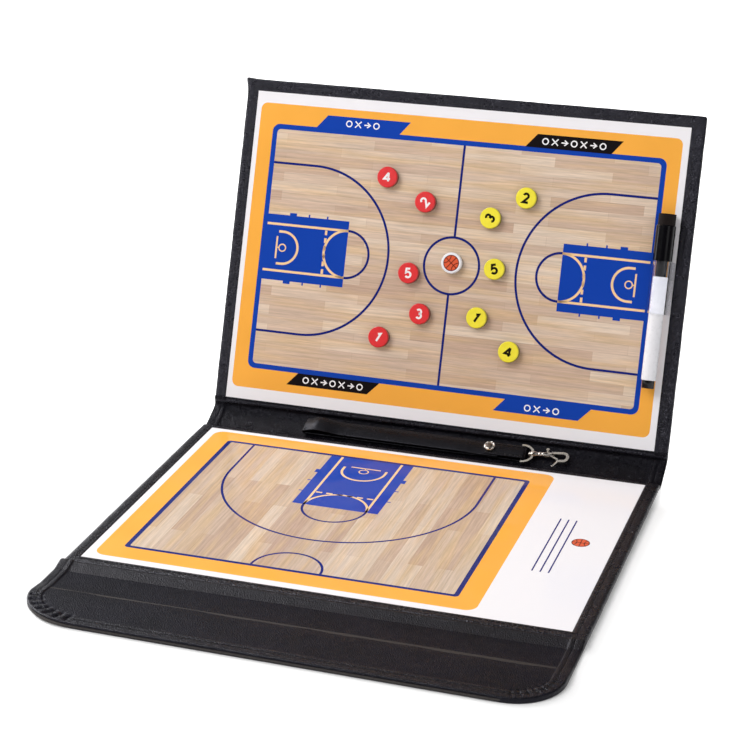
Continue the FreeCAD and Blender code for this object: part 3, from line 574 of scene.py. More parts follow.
class Wrap:
    """Outline of a board's leather, read from its hem and its printed sheet."""

    CORNER = 1.4
    SIDE_STEPS = 60
    END_STEPS = 44
    FLARE_REACH = 5.0

    def __init__(self, face, hem, sheet, front_spread, back_spread, flare=0.0, rise=1.0, seam=0.2):
        self.low, self.high = face.extent(hem)
        self.spreads = (front_spread, back_spread)
        self.flare = flare
        self.rise = rise
        self.seam = seam
        sheet_low, sheet_high = face.extent(sheet)
        self.border = sheet_low.x - self.low.x
        self.front_share = (sheet_low.y - self.low.y) / self.border
        self.back_share = (self.high.y - sheet_high.y) / self.border

    def loop(self, inset, height, seed=0.0):
        """One loop round the board, with the hem's slow unevenness above the print."""
        right = self.high.x - inset
        front = self.low.y + inset * self.front_share
        back = self.high.y - inset * self.back_share
        radius = max(self.CORNER - inset, 0.2)
        corners = rounded(-right, right, front, back, radius, 6)
        size = len(corners) // 4
        points = []
        for i in range(4):
            points += corners[i * size:(i + 1) * size]
            start, end = corners[(i + 1) * size - 1], corners[(i + 1) * size % len(corners)]
            steps = self.SIDE_STEPS if i % 2 == 0 else self.END_STEPS
            for share in spread(0, 1, steps + 1)[1:-1]:
                points.append(tuple(a + (b - a) * share for a, b in zip(start, end)))
        lively = WOBBLE * self.rise * smoothstep(-0.4, 0.2, height)
        height *= self.rise if height > 0 else 1.0
        outer = 1.0 - inset / self.border
        shaped = []
        for x, y in points:
            pulled_x, pulled_y = self.pulled(x, y, outer, seed)
            shaped.append(Vector((pulled_x, pulled_y, height + lively * ripple(x, y, seed))))
        return shaped

    def pulled(self, x, y, outer, seed):
        """The hand-made edge: wider to the right, a flared back left corner and a slow waver."""
        share = (y - self.low.y) / (self.high.y - self.low.y)
        front, back = self.spreads
        spread_right = (front + (back - front) * share) * max(x, 0.0) / self.high.x
        corner = (Vector((x, y)) - Vector((self.low.x, self.high.y))).length
        flare = self.flare * math.exp(-((corner / self.FLARE_REACH) ** 2))
        waver = EDGE_WAVER * ripple(x * 2.5, y * 2.5, seed + 9.0)
        return x + outer * (spread_right - flare + waver), y + outer * (flare * 0.3 + waver)


def board_wrap(name, body, face, wrap, seed):
    """The leather round one board, with its stitching, in place of the plain skin and hem."""
    mesh = loft(name, [wrap.loop(inset, height, seed) for inset, height in WRAP_PROFILE])
    mesh.transform(face.matrix())
    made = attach(piece(name, mesh, leather), body)
    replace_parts(made, body + "_skin", body + "_hem")
    run = wrap.loop(STITCH_INSET, wrap.seam, seed)
    stitching(name + "_stitches", [run + run[:1]], Vector((0, 0, 1)), face.matrix(), body)


base_wrap = Wrap(base_face, "base_hem", "base_print", 1.9, 0.9)
cover_wrap = Wrap(cover_face, "cover_hem", "cover_print", 1.1, 1.1, flare=2.0, rise=0.5, seam=-0.15)
board_wrap("base_leather", "base", base_face, base_wrap, 1.7)
board_wrap("cover_leather", "cover", cover_face, cover_wrap, 5.3)


# Soft leather between the boards and on the flap


def hem_height(distance):
    """Height of a turned, stitched hem over the leather, by the distance from its edge."""
    near = 1.0 - min(distance / EDGE_ROUND, 1.0)
    edge = -EDGE_DROP * (1.0 - math.sqrt(1.0 - near * near))
    fold = HEM_RISE * (1.0 - smoothstep(HEM_WIDTH - HEM_FALL_START, HEM_WIDTH + HEM_FALL_END, distance))
    groove = -GROOVE_DEPTH * math.exp(-(((distance - STITCH_INSET) / GROOVE_WIDTH) ** 2))
    return edge + fold + groove


def hem_columns(half_width):
    """Places across a strip, close together on the hems at both ends."""
    near = (0.0, 0.25, 0.6, 1.1, 2.2, 3.6, 4.6, 5.1, 5.4, 5.7, 6.3, 7.2, 7.9, 8.3, 8.8, 10.0)
    right = [half_width - d for d in near]
    middle = spread(right[-1], -right[-1], 48)[1:-1]
    return right + middle + [-x for x in reversed(right)]


def folded(name, top, bottom, material, bodies, start, end, *replaced):
    """A leather sheet in place of some nodes; bodies, start and end are not used."""
    made = piece(name, slab(name, top, bottom), material)
    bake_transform(made)
    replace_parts(made, *replaced)


low_axis = Vector(joints["low_fold"]["pos_m"]) / MM
high_axis = Vector(joints["high_fold"]["pos_m"]) / MM
SPINE_UP = (high_axis - low_axis).normalized()
SPINE_OUT = Vector((1, 0, 0)).cross(SPINE_UP)
SPINE_WIDTH = (high_axis - low_axis).length
SPINE_SAG = 1.4
SPINE_SPREAD = 1.0
SPINE_RIPPLE = 0.03


def trough(across, fill=0.0):
    """Points on the inner and the outer side of the sagging spine."""
    inner = LINING_LIFT + fill - SPINE_SAG * (1 - (2 * across / SPINE_WIDTH - 1) ** 6)
    outer = min(inner - SKIN / 2, -SKIN)
    middle = low_axis + SPINE_UP * across
    return middle + SPINE_OUT * inner, middle + SPINE_OUT * outer


def spine_half(name, bodies, fold, sections, node):
    """Half of the spine's leather, bent over one fold: sections are pairs of inner and outer points."""
    columns = hem_columns(spine_half_width)
    places = [Vector((x + SPINE_SPREAD * max(x, 0.0) / spine_half_width, 0, 0)) for x in columns]
    hems = [hem_height(spine_half_width - abs(x)) for x in columns]
    top, bottom = [], []
    for inner, outer in sections:
        out = (inner - outer).normalized()
        rises = [hem + SPINE_RIPPLE * ripple(x, inner.y * 2, 8.1) for hem, x in zip(hems, columns)]
        top.append([(inner + out * rise + place) * MM for rise, place in zip(rises, places)])
        bottom.append([(outer + place) * MM for place in places])
    axis, before, after = fold
    start, end = axis - before * FOLD_REACH, axis + after * FOLD_REACH
    folded(name, top, bottom, spine_leather_painted_shade, bodies, start, end, node)


spine_half_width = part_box("spine_skin")[1].x / MM
half_trough = [trough(w) for w in spread(FOLD_REACH, SPINE_WIDTH / 2, 9)]
base_side = [
    (low_axis + Vector((0, -1.6, 1.3)), low_axis + Vector((0, -1.6, -0.05))),
    (low_axis + Vector((0, -0.2, 0.95)), low_axis + Vector((0, -0.6, -0.34))),
]
cover_out = cover_face.normal
# How far the leather goes up the cover's lower hem, and how high over the fold's middle layer
COVER_ROLL = ((0.0, 1.8), (0.9, 2.1), (1.8, 2.5), (2.7, 2.95), (3.5, 3.25), (4.2, 3.35), (4.85, 3.1))
ROLL_START = 0.6
ROLL_UNDER = 0.2
CORNER_FILL = 0.6
FILL_START_SHARE = 0.78
cover_side = [
    (
        high_axis + COVER_UP * up + cover_out * off,
        high_axis + COVER_UP * max(up, ROLL_START) - cover_out * ROLL_UNDER,
    )
    for up, off in COVER_ROLL
]
other_trough = [
    trough(w, CORNER_FILL * smoothstep(SPINE_WIDTH * FILL_START_SHARE, SPINE_WIDTH, w))
    for w in spread(SPINE_WIDTH / 2, SPINE_WIDTH - FOLD_REACH, 9)
]
low_fold = (low_axis, BOARD_UP, SPINE_UP)
high_fold = (high_axis, SPINE_UP, COVER_UP)
spine_half("spine_leather_low", ("base", "spine"), low_fold, base_side + half_trough, "spine_skin")
spine_half("spine_leather_high", ("spine", "cover"), high_fold, other_trough + cover_side, "spine_hems")


# Closing flap

near_axis = Vector(joints["flap_near_fold"]["pos_m"]) / MM
far_axis = Vector(joints["flap_far_fold"]["pos_m"]) / MM
FLAP_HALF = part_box("flap_skin")[1].x / MM
FLAP_DEPTH = 40.4
FLAP_SKEW = 4.5
FLAP_FRONT = far_axis.y - FLAP_DEPTH
FLAP_SEAM = near_axis.y - 6.6
FLAP_BACK = near_axis.y + 3.2
FLAP_CORNER = {-1: Vector((42.0, 31.5)), 1: Vector((29.5, 28.0))}
SMALLEST_CORNER = 0.01
FLAP_FLOOR = 0.03
FLAP_RIPPLE = 0.12
PLEAT_COUNT = 8
PLEAT_DEPTH = {-1: 1.25, 1: 0.5}
PLEAT_RISE = (0.8, 3.0)
PLEAT_FADE = 1.5
# Places along the flap, and the height of its leather there
GUSSET = (
    (FLAP_FRONT, 2.7), (far_axis.y - 9.0, 2.7), (far_axis.y - 1.0, 1.9), (far_axis.y + 3.0, 1.4),
    (near_axis.y - 7.0, 1.35), (near_axis.y + 1.6, 1.7), (FLAP_BACK, 1.5),
)
GUSSET_RISE = 2.0
GUSSET_END = near_axis.y + 1.2
SEAM_CLEAR = 3.0


def skewed(x, y):
    """A place on the flap with its front edge cut a little longer to the right."""
    share = min(max((FLAP_SEAM - y) / (FLAP_SEAM - FLAP_FRONT), 0.0), 1.0)
    return x, y - FLAP_SKEW * share * (x + FLAP_HALF) / (2 * FLAP_HALF)


def flap_pleat(x, y, distance):
    """Depth of the gathered pleats where the hem goes round a corner."""
    side = -1 if x < 0 else 1
    across, along = FLAP_CORNER[side]
    away = Vector(((abs(x) - FLAP_HALF) / across + 1, (FLAP_FRONT - y) / along + 1))
    if away.x <= 0 or away.y <= 0:
        return 0.0
    turn = math.atan2(away.y, away.x) / (math.pi / 2)
    valley = math.cos(math.pi * PLEAT_COUNT * turn) ** 6
    window = smoothstep(*PLEAT_RISE, distance)
    window *= 1.0 - smoothstep(HEM_WIDTH, HEM_WIDTH + PLEAT_FADE, distance)
    return -PLEAT_DEPTH[side] * valley * window * smoothstep(0.02, 0.2, turn) * smoothstep(1.0, 0.85, turn)


def flap_top(x, y, distance):
    """A point on the flap's upper side, in mm."""
    slope = min(max((y - FLAP_SEAM) / (GUSSET_END - FLAP_SEAM), 0.0), 1.0)
    height = interpolate(GUSSET, y) + GUSSET_RISE * slope + hem_height(distance) + flap_pleat(x, y, distance)
    return Vector((*skewed(x, y), height + FLAP_RIPPLE * ripple(x, y, 3.3)))


def flap_loop(distance):
    """Places along the flap's edge, at a distance inside it, from one end of the seam to the other."""
    half = FLAP_HALF - distance
    front = FLAP_FRONT + distance
    ends = {}
    for side, corner in FLAP_CORNER.items():
        across, along = (max(size - distance, SMALLEST_CORNER) for size in corner)
        edge = [(half, y) for y in spread(FLAP_SEAM, front + along, 9)[:-1]]
        turned = arc((0, 0), 1.0, 0, -90, 56)
        edge += [(half + (x - 1) * across, front + (y + 1) * along) for x, y in turned]
        ends[side] = [(side * x, y) for x, y in edge]
    middle = [(x, front) for x in spread(ends[1][-1][0], ends[-1][-1][0], 60)[1:-1]]
    return ends[1] + middle + ends[-1][::-1]


def flap_pieces():
    """The flap's leather: a strip over the near fold and the rounded end over the far fold."""
    depth = FLAP_SEAM - FLAP_FRONT
    distances = [0.0, 0.2, 0.5, 1.1, 1.8, 2.8, 3.8, 4.6, 5.1, 5.4, 5.7, 6.2, 7.0, 7.7, 8.1, 8.4, 8.8, 9.6]
    distances += spread(11.0, depth, 18)
    loops = [flap_loop(d) for d in distances]
    top = [[flap_top(x, y, d) * MM for x, y in loop] for d, loop in zip(distances, loops)]
    bottom = [[Vector((*skewed(x, y), FLAP_FLOOR)) * MM for x, y in loop] for loop in loops]
    reach = BOARD_UP * FOLD_REACH
    hem_rows = sum(d <= HEM_WIDTH + HEM_FALL_END for d in distances)
    bodies = ("flap_strip", "flap")
    panel_nodes = ("flap_skin", "flap_lining", "strip_lining")
    for name, part, material, replaced in (
        ("flap_leather_hem", slice(0, hem_rows), hem_leather, ("flap_hem",)),
        ("flap_leather_panel", slice(hem_rows - 1, None), panel_leather, panel_nodes),
    ):
        folded(name, top[part], bottom[part], material, bodies, far_axis + reach, far_axis - reach, *replaced)

    columns = hem_columns(FLAP_HALF)
    rows = spread(FLAP_BACK, FLAP_SEAM, 16)
    under = ((near_axis.y - 0.4, FLAP_FLOOR), (near_axis.y + 1.8, 0.3), (FLAP_BACK, 0.9))
    top = [[flap_top(x, y, FLAP_HALF - abs(x)) * MM for x in columns] for y in rows]
    bottom = [[Vector((x, y, interpolate(under, y))) * MM for x in columns] for y in rows]
    bodies = ("base", "flap_strip")
    start, end = near_axis + reach, near_axis - reach
    folded("flap_leather_strip", top, bottom, gusset_leather_painted_light, bodies, start, end, "strip_skin")

    edge = [(x, y) for x, y in flap_loop(STITCH_INSET) if y < far_axis.y - SEAM_CLEAR]
    run = [flap_top(x, y, STITCH_INSET) for x, y in edge]
    stitching("flap_stitches", [run], Vector((0, 0, 1)), Matrix.Scale(MM, 4), "flap")


flap_pieces()


# Wrist strap in the trough

STRAP_LAYER = 1.1
STRAP_HALF = 6.0
TAB_HALF = 5.4
STRAP_TAPER = 20.0
STRAP_LOOSE_SHARE = 0.63
STRAP_EDGE = 0.45
STRAP_RIPPLE = 0.2
STRAP_EYE = 2.2
EYE_RISE = 8.0
EYE_FALL = 26.0
RIVET_RIM = ((3.9, 0.0), (4.0, 1.0), (3.8, 1.9), (3.4, 2.5), (3.0, 2.65), (2.6, 2.4), (2.4, 2.0))
RIVET_DISH = ((2.45, 1.9), (1.7, 2.15), (0.9, 2.3), (0.2, 2.35))
TAB_STITCH_INSET = 1.3
TAB_STITCH_START = 1.0
STITCH_LIFT = 0.05

strap_middle = Vector(joints["ring_pivot"]["pos_m"]) / MM
strap_middle.x = 0.0
loop_left, loop_right = (corner.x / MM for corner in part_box("strap_loop"))
tab_left, tab_right = (corner.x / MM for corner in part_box("strap_tab"))


def strap_point(x, off):
    """A point over the strap's middle line, in metres."""
    return (strap_middle + Vector((x, 0, 0)) + SPINE_OUT * off) * MM


def strap_off(x):
    """How far the doubled strap's layers lie from its middle, closer where the tab holds them."""
    return STRAP_LAYER * (0.5 + STRAP_LOOSE_SHARE * smoothstep(tab_left, tab_left - STRAP_TAPER, x))


def strap_band(name, path, half_width, node):
    """A band of leather along (x, off) places over the strap's middle line, in place of a node."""
    points = [strap_point(x, off) for x, off in path]
    mesh = ribbon(name, points, SPINE_UP, half_width, STRAP_LAYER / 2, STRAP_EDGE)
    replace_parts(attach(piece(name, mesh, strap_finish), "strap"), node)


def strap_loop():
    """The doubled strap: along the top, round the fold at the left end and back below."""
    bend = strap_off(loop_left)
    fold = loop_left + STRAP_LAYER / 2 + bend
    places = spread(loop_right, fold + EYE_FALL, 40) + spread(fold + EYE_FALL, fold, 16)[1:]
    path = []
    for x in places:
        eye = smoothstep(fold, fold + EYE_RISE, x) * (1.0 - smoothstep(fold + EYE_RISE, fold + EYE_FALL, x))
        path.append((x, strap_off(x) + STRAP_EYE * eye + STRAP_RIPPLE * ripple(x, 4.0, 2.2)))
    path += arc((fold, 0.0), bend, 90, 270, 10)[1:-1]
    path += [(x, -strap_off(x)) for x in reversed(places)]
    strap_band("strap_leather", path, STRAP_HALF, "strap_loop")


def strap_tab():
    """The short tab folded round the ring's bar and riveted over the strap's end, with its stitching."""
    bend = STRAP_LAYER * 1.5
    nose = tab_right - STRAP_LAYER / 2 - bend
    places = spread(tab_left, nose, 12)
    path = [(x, bend) for x in places]
    path += arc((nose, 0.0), bend, 90, -90, 14)[1:-1]
    path += [(x, -bend) for x in reversed(places)]
    strap_band("strap_tab_leather", path, TAB_HALF, "strap_tab")
    off = bend + STRAP_LAYER / 2 + STITCH_LIFT
    seam = [strap_point(x, off) / MM for x in (tab_left + TAB_STITCH_START, nose)]
    shift = SPINE_UP * (TAB_HALF - TAB_STITCH_INSET)
    runs = [[point + shift * side for point in seam] for side in (-1, 1)]
    stitching("strap_tab_stitches", runs, SPINE_OUT, Matrix.Scale(MM, 4), "strap")


def rivet_head():
    """The rounded head of the rivet on the tab: a bright rim round a dish in darker nickel, painted shade
    where the dish mirrors dark surroundings.
    """
    low, high = (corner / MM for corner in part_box("strap_rivet"))
    x = (low.x + high.x) / 2
    parts = (("rivet_rim", RIVET_RIM, nickel), ("rivet_dish", RIVET_DISH, nickel_painted_shade))
    for name, profile, material in parts:
        loops = []
        for radius, height in profile:
            ring = circle((0, 0), radius, 28)
            off = STRAP_LAYER * 2 + height
            loops.append([strap_point(x + a, off) + SPINE_UP * (b * MM) for a, b in ring])
        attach(piece(name, loft(name, loops), material), "strap")


strap_loop()
strap_tab()
rivet_head()


# End plug of the marker

PLUG_RADIUS = 4.0
PLUG_ROUND = 0.35
PLUG_SEAT = 0.5


def plug_end():
    """The wide end of the plug that shows below the barrel."""
    low, high = cover_face.extent("marker_plug")
    barrel_low = cover_face.extent("marker_barrel")[0].y
    middle = (low + high) / 2
    top = barrel_low + PLUG_SEAT
    rings = ((low.y, PLUG_RADIUS - PLUG_ROUND), (low.y + PLUG_ROUND, PLUG_RADIUS), (top, PLUG_RADIUS))
    loops = []
    for y, radius in rings:
        loops.append([cover_face.world(x, y, z) for x, z in circle((middle.x, middle.z), radius, 32)])
    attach(piece("plug_end", loft("plug_end", loops), black_plastic), "marker")


plug_end()


# Printed courts


class Ink:
    """Shapes of one colour on a sheet, in mm from its middle."""

    MITRE_LIMIT = 0.3

    def __init__(self):
        self.areas = []
        self.lines = []

    def area(self, outline):
        """A filled outline."""
        self.areas.append(outline)

    def line(self, points, width=LINE, closed=False):
        """A line of even width through points."""
        self.lines.append((points, width, closed))

    def edges(self, points, width, closed):
        """Both sides of a line, mitred at its bends."""
        pairs = []
        count = len(points)
        for i, point in enumerate(points):
            before = points[i - 1] if i or closed else point
            after = points[(i + 1) % count] if i < count - 1 or closed else point
            one = (Vector(point) - Vector(before)).normalized() if before != point else None
            two = (Vector(after) - Vector(point)).normalized() if after != point else None
            along = ((one or two) + (two or one)).normalized()
            reach = width / 2 / max(along.dot(one or two), self.MITRE_LIMIT)
            out = Vector((-along.y, along.x)) * reach
            pairs.append((Vector(point) + out, Vector(point) - out))
        return pairs

    def mesh(self, name, level):
        """The shapes as thin closed solids that stand on the sheet."""
        top = level * INK_STEP
        work = bmesh.new()
        for outline in self.areas:
            work.faces.new([work.verts.new((x, y, top)) for x, y in outline])
        for points, width, closed in self.lines:
            pairs = [[work.verts.new((*p, top)) for p in pair] for pair in self.edges(points, width, closed)]
            ahead = pairs[1:] + (pairs[:1] if closed else [])
            for (a, b), (c, d) in zip(pairs, ahead):
                work.faces.new((a, b, d, c))
        raised = bmesh.ops.extrude_face_region(work, geom=work.faces[:])["geom"]
        moved = [v for v in raised if isinstance(v, bmesh.types.BMVert)]
        bmesh.ops.translate(work, verts=moved, vec=(0, 0, -top))
        bmesh.ops.recalc_face_normals(work, faces=work.faces)
        made = bpy.data.meshes.new(name)
        work.to_mesh(made)
        work.free()
        return made


def printed(name, ink, level, material, matrix, body):
    """A layer of ink on its sheet."""
    made = piece(name, ink.mesh(name, level), material)
    made.matrix_world = matrix
    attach(made, body)


# Plain signs on the slanted tabs and in the space for notes
SIGN_SIZE = 4.2
SIGN_PITCH = 6.4
SIGN_LINE = 0.8
NOTE_RULES = (109.0, 114.0, 119.0)
NOTE_LENGTH = 76.0
NOTE_LINE = 0.9
NOTE_BALL = 5.6
NOTE_BALL_PLACE = (128.0, 8.0)


# One end of the full and of the half court, in mm from its back line and from its middle
COURT_SIZES = {
    "arc_start": (30.4, 42.8),
    "arc_radius": (57.3, 82.6),
    "key_length": (58.0, 77.8),
    "key_half": (22.3, 28.1),
    "lane_half": (15.8, 20.3),
    "circle": (15.9, 20.3),
    "dash_line": (42.4, 57.8),
    "rim_place": (12.4, 18.6),
    "rim": (2.4, 3.0),
    "guard": (10.9, 14.2),
    "board_place": (8.2, 13.3),
    "board_half": (7.5, 10.0),
    "block": ((15.4, 20.4), (23.4, 28.4)),
    "ticks": ((29.4, 42.4), (41.3, 58.3)),
    "tick": (1.8, 2.4),
}
FULL_COURT, HALF_COURT = (
    SimpleNamespace(**{name: pair[i] for name, pair in COURT_SIZES.items()}) for i in range(2)
)
TICK_LINE = 1.1
BOARD_LINE = 1.2
RIM_LINE = 0.8
GUARD_GAP = 0.8
LANE_DASHES = 6
DASH_SHARE = 0.6
FRAME_WIDTH = 3.4


def court_end(court, place, blue, navy, cream):
    """Draws one end of a court; place turns (from the back line, from the middle) into sheet places."""

    def put(points):
        return [place(u, v) for u, v in points]

    key = ((0, court.key_half), (court.key_length, court.key_half))
    blue.area(put(key + ((court.key_length, -court.key_half), (0, -court.key_half))))
    three = arc((court.arc_start, 0), court.arc_radius, -90, 90, 64)
    navy.line(put([(0, -court.arc_radius)] + three + [(0, court.arc_radius)]))
    navy.line(put(arc((court.key_length, 0), court.circle, -90, 90)))
    cream.line(put(arc((court.key_length, 0), court.circle, 90, 270)))
    for side in (-1, 1):
        lane = side * court.lane_half
        cream.line(put([(0, lane), (court.key_length, lane)]))
        start, end = court.block
        foot, head = side * court.key_half, side * (court.key_half + court.tick)
        blue.area(put([(start, foot), (end, foot), (end, head), (start, head)]))
        for tick in court.ticks:
            blue.line(put([(tick, foot), (tick, head)]), TICK_LINE)
        guard = side * court.guard
        cream.line(put([(court.board_place + GUARD_GAP, guard), (court.rim_place, guard)]))
    pitch = 2 * court.lane_half / LANE_DASHES
    for i in range(LANE_DASHES):
        start = -court.lane_half + pitch * (i + (1 - DASH_SHARE) / 2)
        cream.line(put([(court.dash_line, start), (court.dash_line, start + pitch * DASH_SHARE)]))
    cream.line(put(arc((court.rim_place, 0), court.guard, -90, 90)))
    half = court.board_half
    cream.line(put([(court.board_place, -half), (court.board_place, half)]), BOARD_LINE)
    cream.line(put(circle((court.rim_place, 0), court.rim, 24)), RIM_LINE, closed=True)
    cream.line(put([(court.board_place, 0), (court.rim_place - court.rim, 0)]), RIM_LINE)


def filled(outline):
    """Ink over a whole outline."""
    ink = Ink()
    ink.area(outline)
    return ink


def sheet_layers(name, body, face, layers):
    """Stacks the inks of one sheet."""
    for what, level, ink, material in layers:
        printed(f"{name}_{what}", ink, level, material, face.matrix(), body)


def tactic_signs(ink, middle, count):
    """A row of plain tactics signs: ring, cross and arrow in turn."""
    half = SIGN_SIZE / 2
    for i in range(count):
        x = middle[0] + SIGN_PITCH * (i - (count - 1) / 2)
        low, high = middle[1] - half, middle[1] + half
        if i % 3 == 0:
            ink.line(circle((x, middle[1]), half * 0.9, 20), SIGN_LINE, closed=True)
        elif i % 3 == 1:
            ink.line([(x - half, low), (x + half, high)], SIGN_LINE)
            ink.line([(x - half, high), (x + half, low)], SIGN_LINE)
        else:
            ink.line([(x - half, middle[1]), (x + half * 0.8, middle[1])], SIGN_LINE)
            ink.line([(x, low + half * 0.2), (x + half, middle[1]), (x, high - half * 0.2)], SIGN_LINE)


def ball(disc, seams, radius, centre=(0.0, 0.0)):
    """A plain ball: a disc with four seams and a dark rim."""
    disc.area(circle(centre, radius))
    seam = radius * 0.1
    x, y = centre
    seams.line([(x - radius, y), (x + radius, y)], seam)
    seams.line([(x, y - radius), (x, y + radius)], seam)
    for side in (-1, 1):
        turn = 90 - 90 * side
        seams.line(arc((x - side * radius * 1.42, y), radius, turn - 44, turn + 44, 16), seam)
    seams.line(circle(centre, radius - seam / 2), seam, closed=True)


def slanted(left_low, right_low, left_high, right_high, low, high):
    """Outline of a slanted tab."""
    return [(left_low, low), (right_low, low), (right_high, high), (left_high, high)]


def full_court():
    """The cover's sheet: a full court in a bordered frame, with four slanted tabs."""
    middle = 0.3
    half_long, half_wide = 131.9, 80.1
    blue, navy, cream, black, white = (Ink() for _ in range(5))
    for side in (-1, 1):
        court_end(FULL_COURT, lambda u, v, s=side: (s * (half_long - u), middle + v), blue, navy, cream)
    radius = 18.9
    navy.line(circle((0, middle), radius, 64), closed=True)
    for side in (-1, 1):
        navy.line([(0, middle + side * radius), (0, middle + side * half_wide)])
    for ink, tab, place, count in (
        (blue, (-104.6, -46.0, -97.0, -38.8, 83.4, 92.4), (-72.0, 87.9), 4),
        (blue, (39.0, 96.4, 46.4, 104.4, -91.6, -83.2), (71.6, -87.4), 4),
        (black, (40.8, 98.4, 48.4, 105.6, 83.4, 92.4), (73.2, 87.9), 7),
        (black, (-106.0, -48.6, -98.4, -40.6, -91.6, -83.2), (-73.3, -87.4), 7),
    ):
        ink.area(slanted(*tab))
        tactic_signs(white, place, count)
    frame_long, frame_wide = half_long + FRAME_WIDTH, half_wide + FRAME_WIDTH
    border = rounded(-145.2, 144.2, -96.95, 97.5, 4.5)
    frame_outline = rounded(-frame_long, frame_long, middle - frame_wide, middle + frame_wide, 5.0)
    floor = rounded(-half_long, half_long, middle - half_wide, middle + half_wide, 2.6)
    layers = (
        ("border", 1, filled(border), orange_ink),
        ("frame", 2, filled(frame_outline), blue_ink),
        ("floor", 3, filled(floor), full_wood),
        ("blue", 4, blue, blue_ink),
        ("black", 4, black, black_ink),
        ("lines", 5, navy, navy_ink),
        ("signs", 5, white, white_ink),
        ("cream", 6, cream, cream_ink),
    )
    sheet_layers("full_court", "cover", cover_face, layers)


def half_court():
    """The base's sheet: a half court beside a white space for notes."""
    middle = -28.2
    left, right, front, back = -127.0, 74.3, -82.2, 85.2
    blue, navy, cream, disc, seams = (Ink() for _ in range(5))
    court_end(HALF_COURT, lambda u, v: (middle + v, back - u), blue, navy, cream)
    navy.line(arc((middle, front), 21.5, 0, 180))
    for rule in NOTE_RULES:
        navy.line([(rule, -NOTE_LENGTH / 2), (rule, NOTE_LENGTH / 2)], NOTE_LINE)
    ball(disc, seams, NOTE_BALL, NOTE_BALL_PLACE)
    layers = (
        ("border", 1, filled(rounded(-143.5, 91.0, -99.0, 101.0, 7.0)), orange_ink),
        ("frame", 2, filled(rounded(left - 3.0, right + 3.0, front - 2.6, back + 2.8, 2.5)), deep_ink),
        ("floor", 3, filled(rounded(left, right, front, back, 1.2)), half_wood_painted_shade),
        ("blue", 4, blue, blue_ink),
        ("lines", 5, navy, navy_ink),
        ("cream", 6, cream, cream_ink),
        ("ball", 4, disc, ball_ink),
        ("ball_seams", 5, seams, seam_ink),
    )
    sheet_layers("half_court", "base", base_face, layers)


full_court()
half_court()


# Numbers and ball on the magnets

NUMBER_HEIGHT = 6.7
BALL_RADIUS = 5.4
BALL_TURN = -40.0
DIGITS = {
    1: [[(-0.18, 0.26), (0.06, 0.43), (0.06, -0.43)]],
    2: [arc((0.0, 0.19), 0.24, 165, -40, 12) + [(-0.24, -0.43), (0.27, -0.43)]],
    3: [arc((-0.01, 0.21), 0.22, 150, -95, 12), arc((-0.01, -0.19), 0.24, 95, -150, 14)],
    4: [[(0.13, -0.43), (0.13, 0.43)], [(0.13, 0.43), (-0.3, -0.19), (0.32, -0.19)]],
    5: [[(0.22, 0.43), (-0.16, 0.43), (-0.2, 0.04)] + arc((0.0, -0.16), 0.27, 125, -150, 16)],
}
# Each team's width of line, its ink and how far each of its magnets is turned
TEAMS = {
    "red": (1.35, red_number, (-28.0, 55.0, 0.0, 0.0, 4.0)),
    "yellow": (1.55, yellow_number, (-30.0, -4.0, 62.0, -10.0, 12.0)),
}


def cap_matrix(cap, turn):
    """The frame of a print on a magnet's cap."""
    low, high = cover_face.extent(cap)
    middle = (low + high) / 2
    return cover_face.matrix(middle.x, middle.y, high.z, turn)


def number(colour, digit):
    """A digit printed on a magnet's cap, drawn in even strokes."""
    width, material, turns = TEAMS[colour]
    body = f"magnet_{colour}_{digit}"
    ink = Ink()
    for stroke in DIGITS[digit]:
        ink.line([(x * NUMBER_HEIGHT, y * NUMBER_HEIGHT) for x, y in stroke], width)
    matrix = cap_matrix(body + "_cap", turns[digit - 1])
    printed(body + "_number", ink, 3, material, matrix, body)


def ball_figure():
    """The ball on the white magnet."""
    matrix = cap_matrix("magnet_ball_cap", BALL_TURN)
    disc, seams = Ink(), Ink()
    ball(disc, seams, BALL_RADIUS)
    printed("ball_disc", disc, 1, ball_ink, matrix, "magnet_ball")
    printed("ball_seams", seams, 2, seam_ink, matrix, "magnet_ball")


for digit in DIGITS:
    for colour in TEAMS:
        number(colour, digit)
ball_figure()


# Finishes of the nodes that keep their CAD shape

CAST_METAL = ("swivel_ring", "hook_body", "gate_lever")
WELD_REACH = 1e-6
METAL_ROUND = 0.3
SOFT_ANGLE = 40.0
NODE_FINISHES = (
    (card_finish, ("base_board", "cover_board")),
    (core_finish, ("flap_stiffener", "flap_magnets", *(name for name in nodes if name.endswith("_foot")))),
    (steel_finish, ("base_steel", "cover_steel")),
    (sheet_white, ("base_print", "cover_print")),
    (sleeve_clear, ("marker_sleeve",)),
    (white_plastic, ("marker_barrel", "magnet_ball_cap")),
    (black_plastic, ("marker_plug", "marker_front", "marker_cap")),
    (nib_felt, ("marker_nib", "ink_reservoir")),
    (eraser_felt, ("cap_eraser",)),
    (nickel, ("strap_rivet", "hook_pin", *CAST_METAL)),
    (red_plastic, [f"magnet_red_{digit}_cap" for digit in DIGITS]),
    (yellow_plastic, [f"magnet_yellow_{digit}_cap" for digit in DIGITS]),
)
node_finish = {name: material for material, names in NODE_FINISHES for name in names}
for name, node in nodes.items():
    node.data.materials.clear()
    node.data.materials.append(node_finish.get(name, leather))

# The cast metal has soft edges
for name in CAST_METAL:
    joined = nodes[name].modifiers.new("joined", "WELD")
    joined.merge_threshold = WELD_REACH
    soft = nodes[name].modifiers.new("soft_edges", "BEVEL")
    soft.width = METAL_ROUND * MM
    soft.segments = 2
    soft.limit_method = "ANGLE"
    soft.angle_limit = math.radians(SOFT_ANGLE)


# Floor, light and camera

